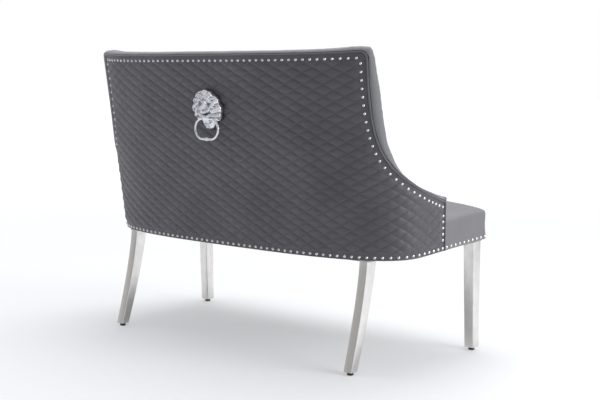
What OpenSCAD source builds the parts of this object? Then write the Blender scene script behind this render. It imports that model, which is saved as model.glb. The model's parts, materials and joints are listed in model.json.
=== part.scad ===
// High back waiting bench: a wrap-round upholstered shell with low arms on four steel legs.
// Millimetres, +Z up, floor at z = 0, the sitter faces -Y and the quilted back faces +Y.

/* [Shell] */
// Height of the welted top edge in the middle of the back
welt_z = 960; // [900:1:1020]
// How much higher the top edge runs at its two corners
ear_rise = 8; // [0:1:16]
// Height at which the upper plan curve is set out
plan_top_z = 980; // [920:1:1040]
// Height of the shell's lower edge at the rear
shell_low_z = 340; // [320:1:380]
// Half width of the shell at its lower edge
shell_half_low = 653; // [600:1:700]
// How much wider the shell is at the top on each side
shell_flare = 51; // [10:1:70]
// How far the lower plan curve reaches behind the origin
shell_rear_low = 218; // [191:1:241]
// How far the upper plan curve reaches behind the origin
shell_rear_top = 330; // [271:1:341]
// Where the curved back turns into the straight sides
side_start_y = 14; // [1:1:31]
// Squareness of the lower plan curve, 2 for an ellipse
plan_power_low_share = 3; // [2.4:0.1:3]
// Squareness of the upper plan curve
plan_power_top_share = 2.8; // [2.4:0.1:3.2]
// Slope of the bench's underside, up towards the front
base_tilt_angle = 3; // [0:0.5:4]

/* [Arms] */
// Height of the welted edge at the front of the arms
arm_z = 507; // [495:1:530]
// Front of the arms
arm_front_y = -83; // [-119:1:-69]
// Where the side edge reaches the top corner
side_edge_y = 239; // [226:1:243]
// Height at which the side edge leaves the back and runs forward
knee_z = 610; // [590:1:630]
// How tightly the side edge bends into the arm
bend_share = 0.18; // [0.14:0.01:0.24]
// How much of the side edge's climb is even
rake_share = 0.15; // [0.05:0.01:0.2]
// Thickness of the arms at their front
arm_t = 61; // [55:1:70]

/* [Quilting] */
// Number of quilting columns between the middle of the back and its side edge
back_count = 15; // [15:1:18]
// Number of quilting columns on each arm
arm_count = 6; // [5:1:7]
// Number of quilting rows up the back
row_count = 24; // [22:2:28]
// Depth of the sewn channels
quilt_depth = 4; // [2:0.5:5]
// Flat band along the edges, where the nails sit
band = 23; // [20:1:28]

/* [Upholstery] */
// Thickness of the outer cover with its wadding, over the puffs
cover_t = 6.3; // [5.5:0.1:8]
// Thickness of the bent boards
board_t = 3; // [2:0.5:4]
// Thickness of the leather skins
skin_t = 2; // [1.5:0.1:3]
// Thickness of the back and arm pads at their sewn edges
pad_edge_t = 8; // [6:1:12]
// How far the back pad's crown swells past its edges
pad_crown = 30; // [10:1:36]
// How far the rounded edge roll stands above the welt along the top
top_roll_rise = 14; // [12:1:22]
// How far the edge roll stands out past the welt at the top corners
side_roll_rise = 21; // [15:1:28]
// How far the edge roll swells out past the welt halfway up the sides
wing_roll_rise = 38; // [25:1:40]
// How far the edge roll stands out past the welt where the arms bend up
bend_roll_rise = 11; // [10:0.5:16]
// How far the edge roll stands above the welt at the arms' front
arm_roll_rise = 20; // [14:1:22]
// Width of the edge roll, through the back
roll_w = 52; // [48:1:60]
// Diameter of the welt cord
welt_d = 6; // [5:0.5:7]

/* [Seat] */
// How far the seat's sides stand in from the shell's
seat_set_in = 6; // [5:1:20]
// Front of the seat
seat_front_y = -341; // [-355:1:-310]
// Height of the seat's shoulder above its frame's underside
seat_edge_h = 88; // [84:1:100]
// Height of the seat's crown above its frame's underside
seat_crown_h = 138; // [120:1:150]
// Radius of the seat's front corners
seat_corner_r = 20; // [10:1:23]
// Gap between the seat and the back pad's board
seat_back_gap = 45; // [43:1:60]

/* [Frame] */
// Thickness of the seat rails
rail_t = 25; // [20:1:30]
// Height of the seat rails
rail_h = 70; // [60:1:76]
// Depth of the back's horizontal rails
back_rail_w = 15; // [14:1:20]
// Height of the back's horizontal rails
back_rail_h = 20; // [16:1:24]
// Thickness of the upright battens
batten_t = 14; // [12:1:18]
// Half width of a seat cross rail
cross_rail_half = 11; // [9:1:14]
// Place of the seat's cross rails either side of the middle
cross_rail_x = 215; // [160:1:280]
// Height of the wood blocks over the legs
block_h = 45; // [35:1:55]
// Width of a webbing strap
strap_w = 50; // [40:1:60]
// Thickness of a webbing strap
strap_t = 2; // [1.5:0.1:3]
// Number of webbing straps from front to rear
strap_count = 8; // [6:2:10]

/* [Legs] */
// Distance from the seat's side to the middle of a front leg
front_leg_in = 27; // [25:1:60]
// Front-to-back place of the front legs
front_leg_y = -287; // [-305:1:-269]
// Distance from the shell's side to the middle of a rear leg
rear_leg_in = 128; // [128:1:170]
// Front-to-back place of the rear legs' tops
rear_leg_y = 144; // [121:1:145]
// How far the rear legs rake back to the floor
rear_leg_rake = 82; // [0:1:95]
// Curve of the rear legs, 1 for a straight leg
sabre_share = 1.3; // [1:0.05:1.6]
// Width of the front legs at their top
leg_top_w = 41; // [36:0.2:42]
// Width of the front legs at their foot
leg_foot_w = 34.6; // [30:0.2:36]
// How far the front legs rake forward to the floor
front_leg_rake = 7; // [0:1:15]
// Width of the rear legs, across the bench
rear_leg_w = 30.6; // [28:0.2:32]
// Depth of the rear legs at their top
rear_leg_top_d = 46; // [38:0.2:46]
// Depth of the rear legs at their foot
rear_leg_foot_d = 32; // [28:0.2:34]
// Wall of the leg tube
leg_wall = 1.5; // [1.2:0.1:2]
// Rounding of the leg tube's edges
leg_edge_r = 3; // [2:0.5:4]
// Height of the tube's lower end above the floor
leg_foot_z = 10; // [9:1:14]
// Width of a leg's mounting plate
plate_w = 100; // [96:1:110]
// Thickness of a leg's mounting plate
plate_t = 4; // [3:0.5:6]
// How far a leg stands off its plate's middle
plate_shift = 27; // [27:1:31]
// Place of the screws either side of a plate's middle
screw_pitch = 38; // [36:1:40]
// Diameter of the leg screws
screw_d = 6; // [5:0.5:7]
// Length of the leg screws
screw_l = 32; // [25:1:34]

/* [Glides] */
// Diameter of a glide's foot
glide_d = 20; // [18:1:24]
// Diameter of a glide's threaded stem
stem_d = 8; // [6:1:10]
// Length of a glide's stem above its foot
stem_l = 26; // [24:1:34]
// Height of the plug in a leg's end
plug_h = 20; // [16:1:28]

/* [Knocker] */
// How far the lion mask's middle lies below the top edge
mask_drop = 155; // [125:1:180]
// Half width of the mane
mane_half = 60; // [54:1:66]
// How far the mask stands off the back
mask_depth = 46; // [40:1:50]
// Half width of the jaw that holds the ring
jaw_half = 16; // [14:1:17]
// How far the ring's pin lies below the mask's middle
pin_drop = 42; // [40:1:44]
// How far the ring's pin stands off the back
pin_out = 18; // [17:1:20]
// Diameter of the ring's rod
ring_rod_d = 8; // [7:0.5:9]
// Height of the ring between its rods' middles
ring_h = 65; // [56:1:70]
// Length of the ring's straight rods
ring_rod_l = 38; // [37:1:44]
// Diameter of the boss at the foot of the ring
boss_d = 13; // [10:1:16]

/* [Nails] */
// Diameter of a nail's domed head
nail_d = 10; // [8:0.5:11]
// Height of a nail's domed head
nail_h = 3.4; // [2.5:0.1:4]
// Distance from one nail to the next
nail_pitch = 25; // [22:1:32]
// Distance from the welt to the nails
nail_inset = 15; // [12:1:16]
// Height of the lower nails above the lower edge
nail_low_h = 9; // [8:1:12]

/* [Hidden] */
$fn = 48;
shell_half_top = shell_half_low + shell_flare;
seat_half = shell_half_low - seat_set_in;
front_leg_x = seat_half - front_leg_in;
rear_leg_x = shell_half_low - rear_leg_in;
mask_z = welt_z - mask_drop;
// Overrun of every cut
over = 1;
// Gap between neighbouring layers
seat_gap = 0.3;
// Running clearance of a pin or a stem in its bore, on the diameter
run_fit = 0.2;
// Clearance of a screw in its hole, on the diameter
hole_fit = 0.6;
// Depth of the front boards' cover outside the rails
seat_skin_t = 3.7;
// Height of the webbing stack
web_h = rail_h + 2 * strap_t + 3 * seat_gap;
// Thickness of the dust cover
dust_t = 1;
// Share of a column between the back's pieces and the arms'
wing_step = 0.02;

// Insets of the shell's layers, measured inwards from the puffs of the outer cover
board_in = cover_t + seat_gap;
batten_in = board_in + board_t + seat_gap;
back_rail_in = batten_in + batten_t + seat_gap;
inner_board_in = back_rail_in + back_rail_w + seat_gap;
foam_in = inner_board_in + board_t + seat_gap;
rail_in = batten_in;
rail_out = rail_in + rail_t;
arm_foam_in = rail_out + seat_gap;
// Clearance of the shell's layers over the sloping underside, and of the back's timber over the seat rails
low_clear = (board_in + board_t) * tan(base_tilt_angle) + seat_gap;
frame_clear = rail_h / cos(base_tilt_angle) + rail_out * tan(base_tilt_angle);

function mix(a, b, t) = a + (b - a) * t;
function clamp(v, lo, hi) = min(hi, max(lo, v));
function rise(z) = (z - shell_low_z) / (plan_top_z - shell_low_z);
function lean_angle() = atan((shell_rear_top - shell_rear_low) / (plan_top_z - shell_low_z));
function base_z(y) = shell_low_z + (shell_rear_low - y) * tan(base_tilt_angle);

// Plan curve of the back: a superellipse, blended from the lower one to the upper one
function oval(a, half, rear, power, inset) = let (e = 2 / power)
    [(half - inset) * pow(sin(a), e), side_start_y + (rear - inset - side_start_y) * pow(cos(a), e)];
function curve_pt(a, z, inset) = mix(
    oval(a, shell_half_low, shell_rear_low, plan_power_low_share, inset),
    oval(a, shell_half_top, shell_rear_top, plan_power_top_share, inset), rise(z));

// Girth of the plan curve against its angle, at the height of the knee
girth_steps = 90;
function girth_pt(k) = curve_pt(k * 90 / girth_steps, knee_z, 0);
girth = [for (k = 0, s = 0; k <= girth_steps; s = s + norm(girth_pt(k + 1) - girth_pt(k)), k = k + 1)
    [s, k * 90 / girth_steps]];
angle_girth = [for (row = girth) [row[1], row[0]]];
curve_len = girth[girth_steps][0];
front_s = curve_len + side_start_y - arm_front_y;

// A point of the shell at girth s from the middle of the back, height z, inwards by inset
function side_pt(s, z, inset) = s <= curve_len ? curve_pt(lookup(s, girth), z, inset) :
    let (d = s - curve_len, fade = min(1, d / (front_s - curve_len)))
    [mix(mix(shell_half_low, shell_half_top, rise(z)), shell_half_low, fade) - inset, side_start_y - d];

// The side edge, as a rise that bends into the arm
function edge_share(h) = (1 - rake_share) * h * norm([1, bend_share]) / norm([h,
    bend_share]) + rake_share * h;
function edge_y(z) = let (h = max(0, (z - arm_z) / (welt_z - arm_z)))
    arm_front_y + edge_share(h) * (side_edge_y - arm_front_y);
edge_steps = 40;
function angle_at_y(y, z) = lookup(y, [for (k = [60:-1:0]) [curve_pt(k * 1.5, z, 0)[1], k * 1.5]]);
function edge_s(z) = lookup(angle_at_y(edge_y(z), z), angle_girth);
knee_s = edge_s(knee_z);
function arm_edge_s(z) = edge_y(z) >= side_start_y ? edge_s(z) : curve_len + side_start_y - edge_y(z);
arm_edge = [for (k = [0:edge_steps]) let (z = mix(knee_z, arm_z, k / edge_steps)) [arm_edge_s(z), z]];

// Columns: even on the back, drawn in above the knee, and even again on the arms
all_count = back_count + arm_count;
back_pitch = (knee_s - band) / (back_count - 1);
arm_pitch = (front_s - knee_s - band) / (arm_count - 1);
function spread(z) = z <= knee_z ? 1 : edge_s(z) / knee_s;
function col_s(k, z) = k < back_count ? k * back_pitch * spread(z) :
    k < all_count ? knee_s * spread(z) + (k - back_count) * arm_pitch :
    knee_s * (spread(z) - 1) + front_s + (k - all_count) * band;
function col_of(s, z) = let (f = spread(z), t = s / f, u = s - knee_s * f)
    t < (back_count - 1) * back_pitch ? t / back_pitch :
    t < knee_s ? back_count - 1 + (t - (back_count - 1) * back_pitch) / band :
    u < (arm_count - 1) * arm_pitch ? back_count + u / arm_pitch :
    all_count - 1 + (u - (arm_count - 1) * arm_pitch) / band;
function col_pt(k, z, inset) = let (p = side_pt(col_s(abs(k), z), z, inset)) [sign(k) * p[0], p[1], z];
function shell_pt(c, z, inset) = let (k = floor(c)) k == c ? col_pt(k, z, inset) :
    mix(col_pt(k, z, inset), col_pt(k + 1, z, inset), c - k);
function shell_sz(s, z, inset) = shell_pt(sign(s) * col_of(abs(s), z), z, inset);

// Lower and upper limits of a column
function low_z(k) = base_z(shell_pt(k, shell_low_z, 0)[1]) + low_clear;
function top_z(k) = welt_z + ear_rise * pow(min(1, abs(k) / back_count), 4);
function arm_edge_z(k) = let (c = min(abs(k), all_count), f = floor(c))
    lookup(mix(col_s(f, knee_z), col_s(min(f + 1, all_count), knee_z), c - f), arm_edge);
function edge_z(k) = abs(k) <= back_count ? top_z(k) : arm_edge_z(k);

// Faces of a closed slab between an outer and an inner grid of nc by nr points
function tri_pair(a, b, c, d) = [[a, b, c], [a, c, d]];
function slab_faces(nc, nr) = let (n = nc * nr) [
    for (c = [0:nc - 2]) for (r = [0:nr - 2]) let (a = c * nr + r, b = a + nr)
        each concat(tri_pair(a, b, b + 1, a + 1), tri_pair(n + a, n + a + 1, n + b + 1, n + b)),
    for (c = [0:nc - 2]) let (a = c * nr, b = a + nr, e = a + nr - 1, f = e + nr)
        each concat(tri_pair(b, a, n + a, n + b), tri_pair(e, f, n + f, n + e)),
    for (r = [0:nr - 2]) let (a = r, b = (nc - 1) * nr + r)
        each concat(tri_pair(a, a + 1, n + a + 1, n + a), tri_pair(b + 1, b, n + b, n + b + 1))];
module slab(outer, inner) {
    polyhedron(points = [for (col = outer) each col, for (col = inner) each col],
        faces = slab_faces(len(outer), len(outer[0])), convexity = 8);
}

// A bent sheet over columns cols and heights zs(c), between two insets
module sheet(cols, zs, out_in, in_in) {
    slab([for (c = cols) [for (z = zs(c)) shell_pt(c, z, out_in)]],
        [for (c = cols) [for (z = zs(c)) shell_pt(c, z, in_in)]]);
}
function back_cols(k) = [for (c = [-k:k]) c];
function back_levels(c, low, high) = [low_z(c) + low, for (i = [1:len(back_rows) - 3]) row_z(c,
    back_rows[i]),
    top_z(c) - high];
function arm_cols() = [back_count - 1 + wing_step, for (k = [back_count:all_count - 1]) k,
    all_count - wing_step * 5];
function arm_levels(c, low, high) = [low_z(c) + low, row_z(c, back_rows[1]), arm_edge_z(c) - high];
// Distance from the welted edge to the frame's edge, under the edge roll
edge_gap = band + seat_gap;

// Carries a seat piece into the sloping plane of the bench's underside
module on_base() {
    translate([0, shell_rear_low, shell_low_z])
        rotate([-base_tilt_angle, 0, 0])
            translate([0, -shell_rear_low, 0])
                children();
}

// Quilted outer cover
flat_count = 1;
// How much of the band the rounded corner takes off
corner_share = 0.293;
function arm_rows(k) = max(back_rows[1] + 2, 2 + ceil((arm_edge_z(k) - low_z(k) - 2 * band) / row_h(k)));
function row_h(k) = (top_z(k) - low_z(k) - 2 * band) / (row_count - 2);
knee_row = 1 + round((knee_z - low_z(back_count) - band) / row_h(back_count));
// Rows at which the plain inner layers follow the quilted one
back_rows = [0, 4, knee_row - 1, knee_row, knee_row + 1, knee_row + 2, knee_row + 4, knee_row + 7,
    row_count - 1, row_count];
back_rows_at_knee = 3;
function rows_of(k) = abs(k) <= back_count ? row_count : arm_rows(k);
function row_z(k, j) = let (n = rows_of(k), hi = edge_z(k))
    abs(k) == back_count && j == knee_row ? knee_z :
    j <= 0 ? low_z(k) : j >= n ? hi : j == n - 1 ? hi - band : low_z(k) + band + (j - 1) * row_h(k);
function is_flat(k,
    j) = j <= flat_count || j >= rows_of(k) - flat_count || abs(k) >= all_count - flat_count ||
    (abs(k) >= back_count - flat_count && abs(k) <= back_count && j >= knee_row - flat_count);
function quilt_inset(k, j) = is_flat(k, j) || (k + j) % 2 == 0 ? quilt_depth : 0;
function edge_pt(k, z, inset, is_corner) = is_corner ?
    shell_pt(sign(k) * (back_count - corner_share), z - corner_share * band, inset) : col_pt(k, z, inset);
function quilt_pt(k, j) = edge_pt(k, row_z(k, j), quilt_inset(k, j), abs(k) == back_count && j == row_count);
function row_limit(k, other) = abs(k) == back_count && abs(other) > back_count ? knee_row : rows_of(k);
function quilt_id(k, other, j) = (k + all_count) * (row_count + 1) + min(j, row_limit(k, other));
function sound(tris) = [for (t = tris) if (t[0] != t[1] && t[1] != t[2] && t[2] != t[0]) t];
function quilt_cell(k, j) = let (a = quilt_id(k, k + 1, j), b = quilt_id(k + 1, k, j),
        c = quilt_id(k + 1, k, j + 1), d = quilt_id(k, k + 1, j + 1))
    sound((k + j) % 2 == 0 ? [[a, b, c], [a, c, d]] : [[a, b, d], [b, c, d]]);
level_count = len(back_rows);
function inner_row(k, i) = abs(k) <= back_count ? back_rows[i] :
    i < 2 ? back_rows[i] : rows_of(k) - max(0, back_rows_at_knee - i);
function inner_pt(k, i) = edge_pt(k, row_z(k, inner_row(k, i)), cover_t,
    abs(k) == back_count && i == level_count - 1);
function inner_id(k, other, i) = (2 * all_count + 1) * (row_count + 1) + (k + all_count) * level_count +
    min(i, abs(k) > back_count || abs(other) > back_count ? back_rows_at_knee : level_count - 1);
function inner_cell(k, i) = let (a = inner_id(k, k + 1, i), b = inner_id(k + 1, k, i),
        c = inner_id(k + 1, k, i + 1), d = inner_id(k, k + 1, i + 1))
    sound([[a, c, b], [a, d, c]]);
// A rim strip between a run of outer points and the one inner edge beside it
function fan(ids, p, q) = let (m = floor((len(ids) - 1) / 2)) sound([
    for (i = [0:len(ids) - 2]) i < m ? [ids[i + 1], ids[i], p] : [ids[i + 1], ids[i], q],
    [ids[m], p, q]]);
function rim_pair(k) = let (o = k + 1,
        a0 = quilt_id(k, o, 0), b0 = quilt_id(o, k, 0), a1 = quilt_id(k, o, row_count),
        b1 = quilt_id(o, k, row_count), p0 = inner_id(k, o, 0), q0 = inner_id(o, k, 0),
        p1 = inner_id(k, o, level_count - 1), q1 = inner_id(o, k, level_count - 1))
    concat(tri_pair(b0, a0, p0, q0), tri_pair(a1, b1, q1, p1));
// The rim down a column's side: each inner level takes the outer rows beside it
function side_rim(k, other, levels) = [for (i = levels) let (r0 = inner_row(k, i), r1 = inner_row(k, i + 1))
    each fan([for (j = [r0:r1]) quilt_id(k, other, j)], inner_id(k, other, i), inner_id(k, other, i + 1))];
function flip(tris) = [for (t = tris) [t[0], t[2], t[1]]];
function front_rim(k) = let (f = side_rim(k, k, [0:back_rows_at_knee - 1])) k < 0 ? flip(f) : f;
function knee_rim(k) = let (f = side_rim(k, 0, [back_rows_at_knee:level_count - 2])) k < 0 ? flip(f) : f;
module quilted_back_cover() {
    color("#4b4b50")
        difference() {
            polyhedron(points = [
                for (k = [-all_count:all_count]) for (j = [0:row_count]) quilt_pt(k, min(j, rows_of(k))),
                for (k = [-all_count:all_count]) for (i = [0:level_count - 1]) inner_pt(k, i)],
                faces = concat([
                    for (k = [-all_count:all_count - 1]) for (j = [0:row_count - 1]) each quilt_cell(k, j),
                    for (k = [-all_count:all_count - 1]) for (i = [0:level_count - 2]) each inner_cell(k, i),
                    for (k = [-all_count:all_count - 1]) each rim_pair(k)],
                    front_rim(all_count), front_rim(-all_count), knee_rim(back_count),
                        knee_rim(-back_count)),
                convexity = 10);
            knocker_holes();
        }
}

// Path of the welted edge in girth and height: up the arm, up the side, round the corner, along the top
corner_z = top_z(back_count) - corner_share * band;
corner_s = edge_s(corner_z) - corner_share * band * spread(corner_z);
function side_stretch() = [for (j = [knee_row:row_count - 1]) let (z = row_z(back_count, j)) [edge_s(z), z]];
function arm_stretch() = [for (k = [all_count:-1:back_count + 1]) let (z = arm_edge_z(k)) [col_s(k, z), z]];
function top_stretch() = [for (k = [back_count - 1:-1:0]) [col_s(k, top_z(k)), top_z(k)]];
function half_path() = concat(arm_stretch(), side_stretch(), [[corner_s, corner_z]], top_stretch());
corner_at = len(arm_stretch()) + len(side_stretch());
function full_path() = let (h = half_path(), n = len(h))
    concat(h, [for (i = [n - 2:-1:0]) [-h[i][0], h[i][1]]]);
function unit(v) = v / norm(v);
// Outward normal of each stretch, and the mitre at each point
function path_normals(p) = [for (i = [0:len(p) - 2]) let (t = unit(p[i + 1] - p[i])) [t[1], -t[0]]];
function mitres(p) = let (n = path_normals(p), last = len(p) - 1) [for (i = [0:last])
    let (a = n[max(0, i - 1)], b = n[min(last - 1, i)])
    i == 0 || (i == last && p[i][0] < 0) ? [0, 1] : (a + b) / (1 + a * b)];
// Sweep along the welted edge; each section point is its reach out past the edge and its inset
module edge_sweep(sections) {
    p = full_path();
    ns = len(sections[0]);
    last = len(p) - 1;
    polyhedron(points = [for (i = [0:last]) for (q = sections[i]) shell_sz(p[i][0] + q[0],
        p[i][1] + q[1], q[2])],
        faces = concat([for (i = [0:last - 1]) for (j = [0:ns - 1]) let (a = i * ns + j,
            b = i * ns + (j + 1) % ns)
            each tri_pair(a, a + ns, b + ns, b)],
        [[for (j = [0:ns - 1]) j], [for (j = [ns - 1:-1:0]) last * ns + j]]), convexity = 10);
}
welt_sides = 6;
module welt_cord() {
    color("#3f3f44")
        edge_sweep([for (m = mitres(full_path())) [for (i = [0:welt_sides - 1])
            let (a = -i * 360 / welt_sides, h = welt_d / 2 * (1 + cos(a)) + seat_gap)
            [h * m[0], h * m[1], welt_d / 2 * (1 + sin(a))]]]);
}
// The roll's section: reach past the edge and inset, for its rise and the depth of its tail
function roll_section(rise, tail) = [[-tail, 0.55 * roll_w], [-0.8 * tail, 0.94 * roll_w], [0, roll_w],
    [0.55 * rise, 0.95 * roll_w], [0.9 * rise, 0.72 * roll_w], [rise, 0.42 * roll_w], [0.96 * rise,
        0.14 * roll_w],
    [0.8 * rise, -0.03 * roll_w], [1.25 * welt_d, -0.1 * welt_d], [1.15 * welt_d, 0.83 * welt_d],
    [0.7 * welt_d, board_in + seat_gap], [-tail, board_in + seat_gap]];
tail_share = 0.65;
// The roll's rise up the arm and side, by the share of the height from the arm to the welt
roll_rises = [[0, arm_roll_rise], [0.117, bend_roll_rise], [0.205, 1.35 * bend_roll_rise],
    [0.316, mix(bend_roll_rise, wing_roll_rise, 0.7)], [0.47, wing_roll_rise],
    [0.647, mix(side_roll_rise, wing_roll_rise, 0.82)], [0.868, mix(side_roll_rise, wing_roll_rise, 0.3)],
    [1, side_roll_rise]];
function roll_rise(z) = lookup((z - arm_z) / (welt_z - arm_z), roll_rises);
module edge_roll() {
    p = full_path();
    m = mitres(p);
    last = len(m) - 1;
    color("#6f6f74")
        edge_sweep([for (i = [0:last]) let (at = min(i, last - i), side = i <= last / 2 ? 1 : -1)
            at == corner_at ? [for (q = roll_section(1, tail_share * band))
                q[0] > 0 && q[0] <= 1 ? [side * q[0] * (side_roll_rise + corner_share * band),
                    q[0] * (top_roll_rise + corner_share * band), q[1]] : [q[0] * m[i][0],
                        q[0] * m[i][1], q[1]]] :
            [for (q = roll_section(at > corner_at ? top_roll_rise : roll_rise(p[i][1]),
                at > corner_at ? band : tail_share * band)) [q[0] * m[i][0], q[0] * m[i][1], q[1]]]]);
}

// Inner pads: the face is drawn in at its edges and crowned between them
function pad_levels(c) = let (l = back_levels(c, web_h + 4 * seat_gap, edge_gap), n = len(l))
    [for (i = [0:n - 1]) if (i != 1) l[i]];
function pad_share(c, z) = let (l = pad_levels(c)) (z - l[0]) / (l[len(l) - 1] - l[0]);
function pad_face(c, v) = foam_in + pad_edge_t +
    pad_crown * (1 - pow(abs(c) / (back_count - 1), 6)) * (1 - pow(abs(2 * v - 1), 4));
function pad_grid(cols, inset) = [for (c = cols) [for (z = pad_levels(c)) shell_pt(c, z, inset(c,
    pad_share(c, z)))]];
module back_foam() {
    cols = back_cols(back_count - 1);
    color("#d8cfa8")
        slab(pad_grid(cols, function (c, v) foam_in),
            pad_grid(cols, function (c, v) pad_face(c, v) - skin_t - seat_gap));
}
module inner_back_cover() {
    cols = back_cols(back_count - 1);
    color("#6f6f74")
        slab(pad_grid(cols, function (c, v) pad_face(c, v) - skin_t),
            pad_grid(cols, function (c, v) pad_face(c, v)));
}
// Arm pads run from the corner of the back to the front of the arms
arm_face_fall = 4;
function arm_face(v) = arm_t - arm_face_fall * pow(abs(2 * v - 1), 4);
function arm_z_at(c, v) = mix(low_z(c) + web_h + 4 * seat_gap, arm_edge_z(c) - edge_gap, v);
arm_pad_rows = 4;
function arm_grid(inset) = [for (c = arm_cols()) [for (r = [0:arm_pad_rows]) let (v = r / arm_pad_rows)
    shell_pt(c, arm_z_at(c, v), inset(v))]];
module arm_foam() {
    slab(arm_grid(function (v) arm_foam_in), arm_grid(function (v) arm_face(v) - skin_t - seat_gap));
}
module arm_cover() {
    slab(arm_grid(function (v) arm_face(v) - skin_t), arm_grid(function (v) arm_face(v)));
}
// Padded facing over the front of an arm, from the seat rail to the edge roll
facing_t = 3;
module arm_facing() {
    low = base_z(arm_front_y) + seat_gap;
    step = low + rail_h + 4 * seat_gap;
    side = shell_pt(all_count, arm_z, 0)[0];
    roll = roll_section(arm_roll_rise, tail_share * band);
    translate([0, arm_front_y - seat_gap, 0])
        rotate([90, 0, 0])
            linear_extrude(height = facing_t)
                polygon(concat([[rail_face_x + seat_gap, low], [side, low], [side, arm_z + welt_d]],
                    [for (i = [7:-1:2]) [side - roll[i][1], arm_z + roll[i][0]]],
                    [[side - arm_t, arm_z - edge_gap], [side - arm_t, step], [rail_face_x + seat_gap,
                        step]]));
}
module arm_facing_right() {
    color("#6f6f74") arm_facing();
}
module arm_facing_left() {
    color("#6f6f74") mirror([1, 0, 0]) arm_facing();
}
module arm_foam_right() {
    color("#d8cfa8") arm_foam();
}
module arm_foam_left() {
    color("#d8cfa8") mirror([1, 0, 0]) arm_foam();
}
module inner_arm_cover_right() {
    color("#6f6f74") arm_cover();
}
module inner_arm_cover_left() {
    color("#6f6f74") mirror([1, 0, 0]) arm_cover();
}

// Boards bent over the frame
module outer_back_board() {
    color("#a98a63")
        difference() {
            sheet(back_cols(back_count - 1), function (c) back_levels(c, seat_gap, edge_gap),
                board_in, board_in + board_t);
            knocker_holes();
        }
}
module outer_arm_board() {
    sheet(arm_cols(), function (c) arm_levels(c, seat_gap, edge_gap), board_in, board_in + board_t);
}
module outer_arm_board_right() {
    color("#a98a63") outer_arm_board();
}
module outer_arm_board_left() {
    color("#a98a63") mirror([1, 0, 0]) outer_arm_board();
}
module inner_back_board() {
    color("#a98a63")
        sheet(back_cols(back_count - 1), function (c) back_levels(c, web_h + 4 * seat_gap, edge_gap),
            inner_board_in, inner_board_in + board_t);
}

// Timber of the back
batten_half = 0.45;
batten_cols = [-16.5, -12.5, -7.5, -3.5, 3.5, 7.5, 12.5, 16.5] * (back_count / 18);
function batten_levels(c) = let (l = back_levels(c, frame_clear, edge_gap), n = len(l))
    concat([for (i = [0:n - 2]) if (i != 1) l[i]], [top_rail_z - seat_gap]);
module back_uprights() {
    color("#c9a877")
        for (c = batten_cols) let (k = floor(c) + 0.5)
            sheet([k - batten_half, k + batten_half], function (c) batten_levels(c),
                batten_in, batten_in + batten_t);
}
// A flat rail cut to the plan curve, over columns up to k, from height z
module bent_rail(k, z, h, out_in, in_in) {
    cols = back_cols(k);
    outer = [for (c = cols) let (p = shell_pt(c, z, out_in)) [p[0], p[1]]];
    inner = [for (c = cols) let (p = shell_pt(c, z + h, in_in)) [p[0], p[1]]];
    translate([0, 0, z])
        linear_extrude(height = h)
            polygon(concat(outer, [for (i = [len(inner) - 1:-1:0]) inner[i]]));
}
top_rail_z = welt_z - edge_gap - back_rail_h;
middle_rail_z = mask_z - back_rail_h / 2;
lower_rail_z = (knee_z + shell_low_z + rail_h) / 2;
module back_top_rail() {
    color("#c9a877")
        bent_rail(back_count - 1, top_rail_z, back_rail_h, batten_in, inner_board_in - seat_gap);
}
module back_middle_rail() {
    color("#c9a877")
        bent_rail(back_count - 1, middle_rail_z, back_rail_h, back_rail_in, inner_board_in - seat_gap);
}
module back_lower_rail() {
    color("#c9a877")
        bent_rail(back_count - 1, lower_rail_z, back_rail_h, back_rail_in, inner_board_in - seat_gap);
}
module arm_rail() {
    sheet([for (c = arm_cols()) max(c, back_count - 1 + 4 * wing_step)],
        function (c) arm_levels(c, frame_clear, edge_gap), rail_in + 2 * seat_gap, rail_out - 2 * seat_gap);
}
module arm_rail_right() {
    color("#c9a877") arm_rail();
}
module arm_rail_left() {
    color("#c9a877") mirror([1, 0, 0]) arm_rail();
}

// Carries a piece onto the leaning back: x across, y outwards, z up along the back
module on_back() {
    translate([0, mix(shell_rear_low, shell_rear_top, rise(mask_z)), mask_z])
        rotate([-lean_angle(), 0, 0])
            children();
}
knocker_screw_up = 29;
knocker_screw_d = 5;
knocker_block_half = 0.9;
module knocker_holes() {
    on_back()
        for (u = [-1, 1])
            translate([0, seat_gap, u * knocker_screw_up])
                rotate([90, 0, 0])
                    cylinder(d = knocker_screw_d + hole_fit, h = batten_in + batten_t + over);
}
module knocker_block() {
    color("#c9a877")
        difference() {
            sheet([-1 - knocker_block_half, -1, 0, 1, 1 + knocker_block_half],
                function (c) [mask_z - 1.5 * knocker_screw_up, mask_z + 1.5 * knocker_screw_up],
                batten_in, batten_in + batten_t);
            knocker_holes();
        }
}
module knocker_screws() {
    color("#9a9ca0")
        on_back()
            for (u = [-1, 1])
                translate([0, -batten_in - batten_t - seat_gap, u * knocker_screw_up])
                    rotate([-90, 0, 0]) {
                        cylinder(d = knocker_screw_d, h = batten_in + batten_t + 3 * knocker_screw_d);
                        translate([0, 0, -knocker_screw_d / 2])
                            cylinder(d = 2 * knocker_screw_d, h = knocker_screw_d / 2);
                    }
}

// Seat frame, in the sloping plane of the underside
rail_face_x = seat_half - seat_skin_t - seat_gap;
rail_face_y = seat_front_y + seat_skin_t + seat_gap;
// Places of a leg's screws, in shares of their pitch, outwards from the plate's middle
screw_places = [[-1, -1], [-1, 0.5], [0.5, -1]];
module leg_screw_holes() {
    for (leg = leg_list) let (d = leg[2])
        for (q = screw_places)
            translate([leg[0] - plate_shift * d[0] + screw_pitch * q[0] * d[0],
                leg[1] - plate_shift * d[1] + screw_pitch * q[1] * d[1], -plate_t - over])
                cylinder(d = screw_d + hole_fit, h = screw_l + plate_t + 2 * over);
}
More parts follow.
